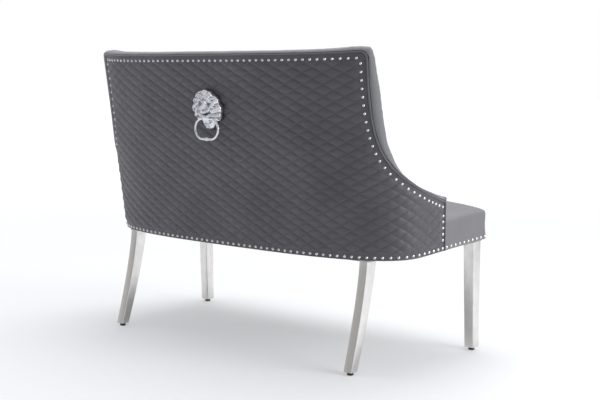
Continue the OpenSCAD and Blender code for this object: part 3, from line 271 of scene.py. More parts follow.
@shared_group("Wood grain", {"Vector": PLACE}, RELIEF)
def wood_grain(desk: NodeDesk, took: Sockets, gave: Sockets) -> None:
    """Growth rings and pores of sawn timber: Height and Tone."""
    rings = desk.add("ShaderNodeTexWave", wave_type="BANDS", bands_direction="Z")
    for title, given in (("Scale", 1.0), ("Distortion", 6.0), ("Detail", 3.0)):
        rings.inputs[title].default_value = given
    desk.join(desk.stretch(took["Vector"], (6, 40, 60), (0.1, 0.15, 0.0)), rings.inputs["Vector"])
    pores = desk.noise(desk.stretch(took["Vector"], (30, 900, 900)), 1.0, 3.0, 0.6)
    desk.join(pores, gave["Height"])
    desk.join(desk.weigh(rings.outputs["Fac"], 0.6, pores, 0.4), gave["Tone"])


@shared_group("Cloth weave", {"Vector": PLACE, "Threads": NUMBER}, RELIEF)
def cloth_weave(desk: NodeDesk, took: Sockets, gave: Sockets) -> None:
    """Plain weave of crossing threads: Height and Tone."""
    apart = desk.add("ShaderNodeSeparateXYZ")
    desk.join(took["Vector"], apart.inputs[0])
    warp, weft = (desk.maths("SINE", desk.times(apart.outputs[way], took["Threads"])) for way in (0, 1))
    crossing = desk.times(warp, weft)
    desk.join(desk.remap(crossing, -1.0, 1.0), gave["Height"])
    slub = desk.times(desk.noise(took["Vector"], 120.0), 0.6)
    desk.join(desk.maths("ADD", slub, desk.remap(crossing, -1.0, 1.0, 0.0, 0.4)), gave["Tone"])


@shared_group("Sewn lines", {"Lattice": PLACE}, {"Groove": NUMBER, "Thread": NUMBER})
def sewn_lines(desk: NodeDesk, took: Sockets, gave: Sockets) -> None:
    """Sewn channels along whole numbers of a lattice: Groove, and Thread for the stitches in it."""
    apart = desk.add("ShaderNodeSeparateXYZ")
    desk.join(took["Lattice"], apart.inputs[0])
    off = [desk.maths("PINGPONG", apart.outputs[way], 0.5) for way in (0, 1)]
    desk.join(desk.remap(desk.maths("MINIMUM", *off), 0.0, 0.075, 1.0, 0.0), gave["Groove"])
    threads = []
    for way in (0, 1):
        dash = desk.maths("SINE", desk.times(apart.outputs[1 - way], 2 * math.pi * STITCHES_PER_DIAMOND))
        threads.append(desk.times(desk.remap(off[way], 0.008, 0.022, 1.0, 0.0), desk.remap(dash, -0.4, 0.1)))
    desk.join(desk.maths("MAXIMUM", *threads), gave["Thread"])


class Dresser:
    """Starts a material and hands out the parts every finish needs."""

    def __init__(self, name: str) -> None:
        """Makes the material.

        Args:
            name: Its name.
        """
        self.material = bpy.data.materials.new(name)
        self.material.use_nodes = True
        tree = self.material.node_tree
        tree.nodes.clear()
        self.desk = NodeDesk(tree)
        self.shader = self.desk.add("ShaderNodeBsdfPrincipled")
        self.out = self.desk.add("ShaderNodeOutputMaterial")
        self.desk.join(self.shader.outputs[0], self.out.inputs[0])
        self.place = self.desk.add("ShaderNodeTexCoord").outputs["Object"]

    def use(self, tree: bpy.types.NodeTree, **given: object) -> Sockets:
        """Places a shared group.

        Args:
            tree: The group.
            **given: Its inputs, sockets or numbers.

        Returns:
            Its outputs by name.
        """
        made = self.desk.add("ShaderNodeGroup")
        made.node_tree = tree
        for title, value in given.items():
            self.desk.fill(made.inputs[title], value)
        return {s.name: s for s in made.outputs}

    def constants(self, **given: float) -> None:
        """Sets plain numbers on the shader's own sockets, with _ for a space."""
        for title, value in given.items():
            self.shader.inputs[title.replace("_", " ")].default_value = value

    def feed(self, title: str, socket: Socket) -> None:
        """Links a socket to a shader input."""
        self.desk.join(socket, self.shader.inputs[title])

    def bump(self, height: Socket, strength: float, reach: float) -> None:
        """Turns a height into the surface's normal.

        Args:
            height: The height, from 0 to 1.
            strength: How strongly it shows.
            reach: The height in metres that 1 stands for.
        """
        made = self.desk.add("ShaderNodeBump")
        for title, given in (("Strength", strength), ("Distance", reach), ("Height", height)):
            self.desk.fill(made.inputs[title], given)
        self.feed("Normal", made.outputs[0])


def shaded(colour: Colour, share: float) -> Colour:
    """A colour made darker or lighter by a factor."""
    return tuple(c * share for c in colour)


@dataclass(frozen=True)
class LeatherFinish:
    """Coated upholstery leather, plain or quilted."""

    name: str
    dark: Colour
    light: Colour
    gloss: tuple[float, float] = (0.42, 0.58)
    pores: float = 900.0
    grain: float = 0.35
    quilted: bool = False
    tones: tuple[float, float] = (0.3, 0.75)

    def build(self) -> bpy.types.Material:
        """Makes the material."""
        dress = Dresser(self.name)
        desk = dress.desk
        grain = dress.use(leather_grain(), Vector=dress.place, Pores=self.pores)
        wear = dress.use(wear_marks(), Vector=dress.place, Amount=0.35)["Mask"]
        colour = desk.blend(desk.remap(grain["Tone"], *self.tones), self.dark, self.light)
        height = grain["Height"]
        if self.quilted:
            lattice = desk.add("ShaderNodeUVMap", uv_map="lattice").outputs[0]
            sewn = dress.use(sewn_lines(), Lattice=lattice)
            # Painted shade: the colour darkens in the sewn grooves
            colour = desk.blend(desk.times(sewn["Groove"], 0.32), colour, shaded(self.dark, 0.4))
            # The stitches are painted lighter, partly as thread colour and partly as a painted highlight
            colour = desk.blend(desk.times(sewn["Thread"], 0.4), colour, shaded(self.light, 1.5))
            height = desk.weigh(height, 0.25, sewn["Groove"], -1.6)
            height = desk.weigh(height, 1.0, sewn["Thread"], 0.9)
        dress.feed("Base Color", desk.blend(desk.times(wear, 0.3), colour, shaded(self.light, 1.5)))
        dress.feed("Roughness", desk.remap(grain["Tone"], *self.tones, *reversed(self.gloss)))
        dress.bump(height, self.grain, 0.0006)
        dress.constants(Specular_IOR_Level=0.4, Sheen_Weight=0.06, Sheen_Roughness=0.5)
        return dress.material


@dataclass(frozen=True)
class BrightFinish:
    """Plated or polished metal with handling marks, and painted shade in its hollows where asked."""

    name: str
    colour: Colour
    shade: Colour
    gloss: tuple[float, float] = (0.06, 0.16)
    brushed: float = 0.0
    shade_in_hollows: bool = False

    def build(self) -> bpy.types.Material:
        """Makes the material."""
        dress = Dresser(self.name)
        desk = dress.desk
        marks = dress.use(wear_marks(), Vector=dress.place, Amount=0.8)["Mask"]
        lines = dress.use(brushed_grain(), Vector=dress.place)
        mist = desk.remap(desk.noise(dress.place, 30.0), 0.35, 0.7)
        colour = desk.blend(desk.times(desk.maths("MAXIMUM", marks, mist), 0.35), self.colour, self.shade)
        worn = desk.weigh(mist, 0.6, lines["Tone"], 0.4 * self.brushed)
        if self.shade_in_hollows:
            hollow = desk.add("ShaderNodeAttribute", attribute_name="hollow").outputs["Fac"]
            # Painted shade: the colour goes nearly black where the casting is hollow
            colour = desk.blend(hollow, colour, shaded(self.shade, 0.10))
            worn = desk.maths("ADD", worn, hollow)
        dress.feed("Base Color", colour)
        dress.feed("Roughness", desk.remap(desk.maths("ADD", worn, marks), 0.0, 1.2, *self.gloss))
        dress.bump(lines["Height"], 0.04 + 0.3 * self.brushed, 0.00004)
        dress.constants(Metallic=1.0)
        return dress.material


@dataclass(frozen=True)
class TimberFinish:
    """Sawn timber or bent board."""

    name: str
    dark: Colour
    light: Colour

    def build(self) -> bpy.types.Material:
        """Makes the material."""
        dress = Dresser(self.name)
        grain = dress.use(wood_grain(), Vector=dress.place)
        dress.feed("Base Color", dress.desk.blend(grain["Tone"], self.light, self.dark))
        dress.feed("Roughness", dress.desk.remap(grain["Tone"], 0.0, 1.0, 0.6, 0.8))
        dress.bump(grain["Height"], 0.3, 0.0004)
        return dress.material


@dataclass(frozen=True)
class ClothFinish:
    """Woven or matted cloth."""

    name: str
    dark: Colour
    light: Colour
    threads: float = 2600.0

    def build(self) -> bpy.types.Material:
        """Makes the material."""
        dress = Dresser(self.name)
        weave = dress.use(cloth_weave(), Vector=dress.place, Threads=self.threads)
        dress.feed("Base Color", dress.desk.blend(weave["Tone"], self.dark, self.light))
        dress.feed("Roughness", dress.desk.remap(weave["Height"], 0.0, 1.0, 0.95, 0.8))
        dress.bump(weave["Height"], 0.4, 0.0004)
        dress.constants(Sheen_Weight=0.1)
        return dress.material


@dataclass(frozen=True)
class PlasticFinish:
    """Moulded plastic with a fine spark texture."""

    name: str
    colour: Colour
    dusty: Colour

    def build(self) -> bpy.types.Material:
        """Makes the material."""
        dress = Dresser(self.name)
        desk = dress.desk
        spark = desk.noise(dress.place, 1600.0, 3.0, 0.6)
        dust = dress.use(wear_marks(), Vector=dress.place, Amount=1.0)["Mask"]
        dress.feed("Base Color", desk.blend(dust, self.colour, self.dusty))
        dress.feed("Roughness", desk.remap(spark, 0.3, 0.7, 0.45, 0.65))
        dress.bump(spark, 0.2, 0.0002)
        return dress.material


FINISHES: dict[str, object] = {
    "quilted_fabric": LeatherFinish("Quilted leather", (0.057, 0.055, 0.063), (0.085, 0.082, 0.093),
                                    (0.42, 0.54), pores=1100.0, grain=0.6, quilted=True),
    # Painted highlight: the welt is a lighter copy of the dark quilt leather, standing for the light line
    # along the cord
    "welt_fabric": LeatherFinish("Welt leather", (0.12, 0.12, 0.128), (0.165, 0.165, 0.175), (0.3, 0.42)),
    "roll_leather": LeatherFinish("Roll leather", (0.145, 0.145, 0.155), (0.185, 0.185, 0.197)),
    "inner_leather": LeatherFinish("Inner leather", (0.145, 0.145, 0.155), (0.185, 0.185, 0.197)),
    "seat_leather": LeatherFinish("Seat leather", (0.138, 0.136, 0.146), (0.176, 0.174, 0.187)),
    "bent_board": TimberFinish("Bent board", (0.3, 0.19, 0.1), (0.5, 0.36, 0.22)),
    "frame_timber": TimberFinish("Frame timber", (0.42, 0.27, 0.14), (0.62, 0.45, 0.28)),
    "webbing": ClothFinish("Webbing", (0.03, 0.03, 0.03), (0.09, 0.09, 0.085), 3200.0),
    "dust_cloth": ClothFinish("Dust cloth", (0.015, 0.015, 0.016), (0.04, 0.04, 0.042), 5200.0),
    "nail_steel": BrightFinish("Nail heads", (0.66, 0.65, 0.64), (0.42, 0.41, 0.4), (0.12, 0.26)),
    "bright_cast": BrightFinish("Bright casting", (0.80, 0.81, 0.85), (0.62, 0.635, 0.68), (0.2, 0.36),
                                shade_in_hollows=True),
    "screw_steel": BrightFinish("Screw steel", (0.5, 0.5, 0.51), (0.36, 0.36, 0.37), (0.25, 0.4), 0.4),
    "leg_steel": BrightFinish("Leg steel", (0.70, 0.685, 0.67), (0.56, 0.545, 0.53), (0.16, 0.32), 0.5),
    "plate_steel": BrightFinish("Plate steel", (0.45, 0.45, 0.46), (0.3, 0.3, 0.31), (0.35, 0.5), 0.5),
    "plug_plastic": PlasticFinish("Plug plastic", (0.02, 0.02, 0.02), (0.07, 0.068, 0.065)),
    "glide_plastic": PlasticFinish("Glide plastic", (0.018, 0.018, 0.018), (0.06, 0.058, 0.055)),
}


class Wardrobe:
    """Builds each finish once and puts it on pieces and CAD nodes."""

    def __init__(self) -> None:
        """Starts with nothing built."""
        self.made: dict[str, bpy.types.Material] = {}

    def material(self, slot: str) -> bpy.types.Material:
        """The material of a slot, built when first asked for."""
        if slot not in self.made:
            self.made[slot] = FINISHES[slot].build()
        return self.made[slot]

    def clothe(self, piece: Piece, slot: str) -> None:
        """Leaves an object with the one material of a slot."""
        piece.data.materials.clear()
        piece.data.materials.append(self.material(slot))

    def put_on(self, piece: Piece, slot: str, angle: float = 0.0) -> None:
        """Shades a new piece and gives it the one material of its slot.

        Args:
            piece: The piece.
            slot: The record's material slot.
            angle: Edges sharper than this many degrees stay sharp, and at 0 all are flat.
        """
        if angle:
            alone(piece)
            bpy.ops.object.shade_smooth_by_angle(angle=math.radians(angle))
        self.clothe(piece, slot)

    def dress_node(self, name: str, node: Piece, slot: str) -> None:
        """Gives a CAD node the material of its slot.

        Args:
            name: The node's name.
            node: Its object.
            slot: The record's material slot.
        """
        if slot in FINISHES:
            self.clothe(node, slot)
            LOG.info("node %s wears %s", name, slot)


WARDROBE = Wardrobe()


def alone(piece: Piece) -> None:
    """Selects one object and makes it the active one."""
    if bpy.context.object and bpy.context.object.mode != "OBJECT":
        bpy.ops.object.mode_set(mode="OBJECT")
    bpy.ops.object.select_all(action="DESELECT")
    piece.select_set(True)
    bpy.context.view_layer.objects.active = piece


def start_grid(name: str, across: int, along: int) -> Piece:
    """Adds a flat grid over -1 to 1 each way.

    Args:
        name: The piece's name.
        across: Faces along X.
        along: Faces along Y.

    Returns:
        The grid.
    """
    bpy.ops.object.select_all(action="DESELECT")
    bpy.ops.mesh.primitive_grid_add(x_subdivisions=across, y_subdivisions=along, size=2.0, location=(0, 0, 0))
    piece = bpy.context.object
    piece.name = piece.data.name = name
    return piece


def corners_of(piece: Piece) -> Array:
    """The vertices of a piece as an array of rows."""
    flat = np.empty(len(piece.data.vertices) * 3, dtype=np.float64)
    piece.data.vertices.foreach_get("co", flat)
    return flat.reshape(-1, 3)


def move_corners(piece: Piece, places: Array) -> None:
    """Puts the vertices of a piece at given places."""
    piece.data.vertices.foreach_set("co", np.ascontiguousarray(places, dtype=np.float32).ravel())
    piece.data.update()


def edit(piece: Piece, *steps: Callable[[], object]) -> None:
    """Runs steps in edit mode, each on the whole of a piece.

    Args:
        piece: The piece.
        *steps: Operators with their settings filled in.
    """
    alone(piece)
    bpy.ops.object.mode_set(mode="EDIT")
    for step in steps:
        bpy.ops.mesh.select_all(action="SELECT")
        step()
    bpy.ops.object.mode_set(mode="OBJECT")


def turn_out(piece: Piece, rank: Callable[[bpy.types.MeshPolygon], float], axis: int) -> None:
    """Turns all faces over if the one with the highest rank looks down an axis.

    Args:
        piece: The skin.
        rank: Ranks the faces, so that the outward way of the first is known.
        axis: The axis that it should look up along, 0 to 2.
    """
    if max(piece.data.polygons, key=rank).normal[axis] < 0:
        edit(piece, bpy.ops.mesh.flip_normals)


def with_modifier(piece: Piece, kind: str, **settings: object) -> None:
    """Adds a modifier and applies it.

    Args:
        piece: The piece.
        kind: The modifier's type.
        **settings: Its settings.
    """
    alone(piece)
    made = piece.modifiers.new(kind.title(), kind)
    for name, value in settings.items():
        setattr(made, name, value)
    bpy.ops.object.modifier_apply(modifier=made.name)


def settle(piece: Piece, *nodes: str) -> None:
    """Lets a piece ride on the bench and stand for CAD nodes.

    Args:
        piece: The piece.
        *nodes: The CAD nodes that it replaces.
    """
    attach(piece, BENCH)
    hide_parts(*nodes)
    LOG.info("piece %s: %d faces, stands for %s", piece.name, len(piece.data.polygons), ", ".join(nodes))


def mix(first: Array, second: Array, share: Array) -> Array:
    """Blends two values by a share."""
    return first + (second - first) * share


def ease(value: Array, low: float, high: float) -> Array:
    """A smooth step from 0 at low to 1 at high."""
    t = np.clip((value - low) / (high - low), 0.0, 1.0)
    return t * t * (3 - 2 * t)


def bell(value: Array, width: float) -> Array:
    """A bell curve of a given half width."""
    return np.exp(-((value / width) ** 2))


def lengths_along(path: Array) -> Array:
    """Length from the start of a path to each of its points."""
    return np.concatenate([[0], np.cumsum(np.hypot(*np.diff(path, axis=0).T))])


def normals_of(path: Array) -> Array:
    """Unit normals of a path, to its right."""
    tangent = np.gradient(path, axis=0)
    tangent /= np.linalg.norm(tangent, axis=1, keepdims=True)
    return np.stack([tangent[:, 1], -tangent[:, 0]], axis=1)


@dataclass
class ShellForm:
    """The wrap-round shell as the solids have it: girth from the middle of the back, height and inset."""

    welt_z: float = 0.960
    ear_rise: float = 0.008
    top_z: float = 0.980
    low_z: float = 0.340
    half_low: float = 0.653
    half_top: float = 0.704
    rear_low: float = 0.218
    rear_top: float = 0.330
    side_start_y: float = 0.014
    power_low: float = 3.0
    power_top: float = 2.8
    base_tilt: float = math.radians(3.0)
    arm_z: float = 0.507
    arm_front_y: float = -0.083
    side_edge_y: float = 0.239
    knee_z: float = 0.610
    bend: float = 0.18
    rake: float = 0.15
    band: float = 0.023
    back_count: int = 15
    side_rise: float = 0.021
    wing_rise: float = 0.038
    bend_rise: float = 0.011
    arm_rise: float = 0.020
    top_rise: float = 0.014
    corner: float = 0.020
    angles: Array = field(init=False, repr=False)
    girth: Array = field(init=False, repr=False)

    def __post_init__(self) -> None:
        """Measures the girth at the height of the knee."""
        self.angles = np.radians(np.linspace(0, 90, 721))
        x, y = self.curve(self.angles, np.full(721, self.knee_z), 0.0)
        self.girth = lengths_along(np.stack([x, y], axis=1))
        self.curve_len = float(self.girth[-1])
        self.front_s = self.curve_len + self.side_start_y - self.arm_front_y
        heights = self.arm_z + 1e-9 + (self.top_z - self.arm_z) * np.linspace(0, 1, 240) ** 2
        self.edge_table = np.array([[z, self._edge_s(z)] for z in heights])
        self.knee_s = float(self.edge_s(self.knee_z))
        self.pitch = (self.knee_s - self.band) / (self.back_count - 1)

    def rise(self, z: Array) -> Array:
        """Share of the height between the two plan curves."""
        return (z - self.low_z) / (self.top_z - self.low_z)

    def curve(self, angle: Array, z: Array, inset: Array) -> tuple[Array, Array]:
        """Plan place on the curved part.

        Args:
            angle: The curve's angle from the middle of the back.
            z: Height.
            inset: Distance inwards.

        Returns:
            The x and y of the place.
        """
        found = []
        for half, rear, power in ((self.half_low, self.rear_low, self.power_low),
                                  (self.half_top, self.rear_top, self.power_top)):
            share = 2 / power
            x = (half - inset) * np.sin(angle) ** share
            y = self.side_start_y + (rear - inset - self.side_start_y) * np.clip(np.cos(angle), 0, 1) ** share
            found.append((x, y))
        r = self.rise(z)
        return mix(found[0][0], found[1][0], r), mix(found[0][1], found[1][1], r)

    def point(self, s: Array, z: Array, inset: Array) -> Array:
        """Places on the shell.

        Args:
            s: Girth from the middle of the back, negative on the left.
            z: Height.
            inset: Distance inwards.

        Returns:
            Rows of x, y and z.
        """
        s, z, inset = np.broadcast_arrays(np.asarray(s, float), np.asarray(z, float), np.asarray(inset, float))
        reach = np.abs(s)
        x, y = self.curve(np.interp(reach, self.girth, self.angles), z, inset)
        beyond = reach - self.curve_len
        fade = np.clip(beyond / (self.front_s - self.curve_len), 0, 1)
        side = mix(mix(self.half_low, self.half_top, self.rise(z)), self.half_low, fade) - inset
        x = np.where(beyond > 0, side, x)
        y = np.where(beyond > 0, self.side_start_y - beyond, y)
        return np.stack([np.sign(s) * x, y, z], axis=-1)

    def _edge_s(self, z: float) -> float:
        """Girth of the side edge at a height."""
        h = max(0.0, (z - self.arm_z) / (self.welt_z - self.arm_z))
        share = (1 - self.rake) * h * math.hypot(1, self.bend) / math.hypot(h, self.bend) + self.rake * h
        y = self.arm_front_y + share * (self.side_edge_y - self.arm_front_y)
        if z <= self.arm_z:
            return self.front_s
        if y < self.side_start_y:
            return self.curve_len + self.side_start_y - y
        ys = self.curve(self.angles, np.full(len(self.angles), z), 0.0)[1]
        return float(np.interp(-y, -ys, self.girth))

    def edge_s(self, z: Array) -> Array:
        """Girth of the side edge at heights."""
        return np.interp(z, self.edge_table[:, 0], self.edge_table[:, 1])

    def roll_rise(self, z: Array) -> Array:
        """How far the edge roll stands out past the welt at heights of the side."""
        share = (z - self.arm_z) / (self.welt_z - self.arm_z)
        at = (0.0, 0.117, 0.205, 0.316, 0.47, 0.647, 0.868, 1.0)
        bend, wing, side = self.bend_rise, self.wing_rise, self.side_rise
        rises = (self.arm_rise, bend, 1.35 * bend, mix(bend, wing, 0.7), wing,
                 mix(side, wing, 0.82), mix(side, wing, 0.3), side)
        return np.interp(share, at, rises)

    def spread(self, z: Array) -> Array:
        """How far the columns are drawn in above the knee."""
        return np.where(z <= self.knee_z, 1.0, self.edge_s(z) / self.knee_s)

    def column_s(self, c: Array, z: Array) -> Array:
        """Girth of a column of the back at a height."""
        last = self.back_count - 1
        whole = np.where(np.abs(c) < last, np.abs(c) * self.pitch,
                         last * self.pitch + (np.abs(c) - last) * self.band)
        return np.sign(c) * whole * self.spread(z)

    def top_at(self, s: Array) -> Array:
        """Height of the top edge at a girth."""
        s_corner = float(self.edge_s(self.welt_z + self.ear_rise))
        share = np.abs(s) / s_corner
        return self.welt_z + self.ear_rise * np.minimum(1.0, share) ** 4

    def base_at(self, y: Array) -> Array:
        """Height of the bench's underside at a depth."""
        return self.low_z + (self.rear_low - y) * math.tan(self.base_tilt)

    def rear_y(self, x: float, inset: float) -> float:
        """Depth of the shell's foot behind a place across the bench, at an inset."""
        s = np.interp(abs(x), np.abs(self.point(self.girth, self.low_z, inset)[:, 0]), self.girth)
        return float(self.point(s, self.low_z, inset)[1])

    def low_at(self, s: Array) -> Array:
        """Height of the lower edge at a girth."""
        return self.base_at(self.point(s, self.low_z, 0.0)[..., 1]) + 0.0008

    def half_edge(self, step: float) -> tuple[Array, Array]:
        """The welted edge from the front of an arm to the middle of the top.

        Args:
            step: Spacing of the points.

        Returns:
            Rows of girth and height, and rows of the reach of the edge roll there.
        """
        z_corner = self.welt_z + self.ear_rise
        s_corner = float(self.edge_s(z_corner - self.corner))
        middle_s, middle_z = s_corner - self.corner, z_corner - self.corner
        z = np.concatenate([np.linspace(self.arm_z + 1e-6, 0.56, 80), np.linspace(0.5605, middle_z, 120)])
        turn = np.radians(np.linspace(0, 90, 13)[1:-1])
        s = np.linspace(middle_s, 0.0, 120)
        path = np.concatenate([[[self.front_s, self.arm_z]], np.stack([self.edge_s(z), z], axis=1),
                               np.stack([middle_s + self.corner * np.cos(turn),
                                         middle_z + self.corner * np.sin(turn)], axis=1),
                               np.stack([s, self.top_at(s)], axis=1)])
        kept = [path[0]]
        for p in path[1:]:
            if np.hypot(*(p - kept[-1])) > 1e-4:
                kept.append(p)
        path = np.array(kept)
        along = lengths_along(path)
        even = np.linspace(0, along[-1], int(along[-1] / step) + 1)
        path = np.stack([np.interp(even, along, path[:, 0]), np.interp(even, along, path[:, 1])], axis=1)
        normal = normals_of(path)
        reach = normal * self.roll_rise(path[:, 1])[:, None]
        is_top = path[:, 0] < middle_s
        reach[is_top] = normal[is_top] * self.top_rise
        # Round the corner the roll's outer line is square: up the side, then along the top
        in_arc = (path[:, 1] > middle_z) & (path[:, 0] >= middle_s)
        eighths = np.degrees(np.arctan2(path[:, 1] - middle_z, path[:, 0] - middle_s)) / 45
        far, high = s_corner + self.side_rise, z_corner + self.top_rise
        outer = np.stack([mix(far, middle_s, np.clip(eighths - 1, 0, 1)),
                          mix(middle_z, high, np.clip(eighths, 0, 1))], axis=1)
        reach[in_arc] = (outer - path)[in_arc]
        return path, reach

    def full_edge(self, step: float) -> tuple[Array, Array]:
        """The whole welted edge, from one arm's front to the other's."""
        path, reach = self.half_edge(step)
        flip = np.array([-1.0, 1.0])
        return np.concatenate([path, path[-2::-1] * flip]), np.concatenate([reach, reach[-2::-1] * flip])


SHELL = ShellForm()


def loft(name: str, sections: Array, cap: bool = True) -> Piece:
    """A surface through closed sections, made from a grid, with its faces turned outwards.

    Args:
        name: The piece's name.
        sections: Array of sections, of points, of coordinates.
        cap: Whether the ends are filled.

    Returns:
        The piece.
    """
    sections = np.concatenate([sections, sections[:, :1]], axis=1)
    n, m = sections.shape[:2]
    piece = start_grid(name, n - 1, m - 1)
    co = corners_of(piece)
    i = np.rint((co[:, 0] + 1) / 2 * (n - 1)).astype(int)
    j = np.rint((co[:, 1] + 1) / 2 * (m - 1)).astype(int)
    move_corners(piece, sections[i, j])
    steps = [partial(bpy.ops.mesh.remove_doubles, threshold=MERGE_GAP),
             partial(bpy.ops.mesh.dissolve_degenerate, threshold=MERGE_GAP)]
    if cap:
        steps.append(partial(bpy.ops.mesh.fill_holes, sides=0))
    edit(piece, *steps, partial(bpy.ops.mesh.normals_make_consistent, inside=False))
    return piece


@dataclass
class OuterCover:
    """The quilted outer skin of the back and arms."""

    diamond_w: float = 0.064
    diamond_h: float = 0.034
    depth: float = 0.004
    skin: float = 0.002
    cuts: int = 8
    foot_z: float = 0.33
    plain_band: tuple[float, float] = (0.016, 0.030)

    def outline(self) -> Array:
        """The region's closed outline in girth and height."""
        edge = SHELL.full_edge(0.010)[0]
        s = np.linspace(-SHELL.front_s, SHELL.front_s, 160)
        return np.concatenate([edge, np.stack([s, SHELL.low_at(s)], axis=1)])

    def measure(self, places: Array, outline: Array) -> tuple[Array, Array, Array]:
        """Measures places against the outline.

        Args:
            places: Rows of girth and height.
            outline: The closed outline.

        Returns:
            Whether each is inside, its distance to the outline, and the nearest place on it.
        """
        inside = np.zeros(len(places), bool)
        best = np.full(len(places), 1e9)
        near = np.zeros_like(places)
        for a, b in zip(outline, np.roll(outline, -1, axis=0)):
            step = b - a
            if step @ step < 1e-14:
                continue
            crossing = (a[1] > places[:, 1]) != (b[1] > places[:, 1])
            if crossing.any():
                cut = a[0] + (places[:, 1] - a[1]) / (b[1] - a[1]) * step[0] if abs(step[1]) > 1e-12 else a[0]
                inside ^= crossing & (places[:, 0] < cut)
            t = np.clip(((places - a) @ step) / (step @ step), 0, 1)
            foot = a + t[:, None] * step
            gap = np.hypot(*(places - foot).T)
            closer = gap < best
            best[closer] = gap[closer]
            near[closer] = foot[closer]
        return inside, best, near

    def build(self) -> None:
        """Makes the cover on a grid that runs along the sewn lines."""
        reach = SHELL.front_s / self.diamond_w
        tall = (SHELL.welt_z + SHELL.ear_rise - self.foot_z) / self.diamond_h
        p0, p1 = math.floor(-reach), math.ceil(reach + tall)
        q0, q1 = math.floor(-reach - tall), math.ceil(reach)
        piece = start_grid("quilted_cover", (p1 - p0) * self.cuts, (q1 - q0) * self.cuts)
        flat = corners_of(piece)
        lattice = np.stack([mix(p0, p1, (flat[:, 0] + 1) / 2), mix(q0, q1, (flat[:, 1] + 1) / 2)], axis=1)
        places = np.stack([(lattice[:, 0] + lattice[:, 1]) / 2 * self.diamond_w,
                           self.foot_z + (lattice[:, 0] - lattice[:, 1]) / 2 * self.diamond_h], axis=1)
        roughly = (np.abs(places[:, 0]) < SHELL.front_s + 0.02) & (places[:, 1] > 0.32) & (places[:, 1] < 1.0)
        inside, gap, near = np.zeros(len(places), bool), np.zeros(len(places)), places.copy()
        inside[roughly], gap[roughly], near[roughly] = self.measure(places[roughly], self.outline())
        sheet = piece.data.uv_layers.new(name="lattice")
        loops = np.empty(len(piece.data.loops), dtype=np.int32)
        piece.data.loops.foreach_get("vertex_index", loops)
        sheet.data.foreach_set("uv", lattice[loops].astype(np.float32).ravel())
        keep = self.cut_out(piece, inside, loops)
        places, gap, near, inside, lattice = (v[keep] for v in (places, gap, near, inside, lattice))
        places = np.where(inside[:, None], places, near)
        gap = np.where(inside, gap, 0.0)
        off = [np.abs(lattice[:, k] - np.rint(lattice[:, k])) for k in (0, 1)]
        puff = np.sin(np.pi * off[0]) ** 0.4 * np.sin(np.pi * off[1]) ** 0.6
        puff *= 0.94 + 0.06 * np.sin(lattice[:, 0] * 1.3) * np.cos(lattice[:, 1] * 0.9)
        held = ease(gap, *self.plain_band)
        inset = self.depth * (1 - puff * held)
        move_corners(piece, SHELL.point(places[:, 0], places[:, 1], inset))
        edit(piece, partial(bpy.ops.mesh.normals_make_consistent, inside=False))
        turn_out(piece, lambda f: -abs(f.center.x) - abs(f.center.z - 0.6), 1)
        with_modifier(piece, "SOLIDIFY", thickness=self.skin, offset=-1.0)
        WARDROBE.put_on(piece, "quilted_fabric", 75)
        settle(piece, "quilted_back_cover")

    def cut_out(self, piece: Piece, inside: Array, loops: Array) -> Array:
        """Deletes the faces that lie wholly outside the outline.

        Args:
            piece: The grid.
            inside: Whether each vertex is inside.
            loops: The vertex of each face corner, four a face.

        Returns:
            The old numbers of the vertices that stay, in order.
        """
        outside = ~inside[loops.reshape(-1, 4)].any(axis=1)
        used = np.zeros(len(inside), bool)
        used[loops.reshape(-1, 4)[~outside].ravel()] = True
        alone(piece)
        bpy.ops.object.mode_set(mode="EDIT")
        bpy.ops.mesh.select_mode(type="FACE")
        bpy.ops.mesh.select_all(action="DESELECT")
        bpy.ops.object.mode_set(mode="OBJECT")
        piece.data.polygons.foreach_set("select", outside)
        bpy.ops.object.mode_set(mode="EDIT")
        bpy.ops.mesh.delete(type="FACE")
        bpy.ops.mesh.select_mode(type="VERT")
        bpy.ops.object.mode_set(mode="OBJECT")
        return np.flatnonzero(used)


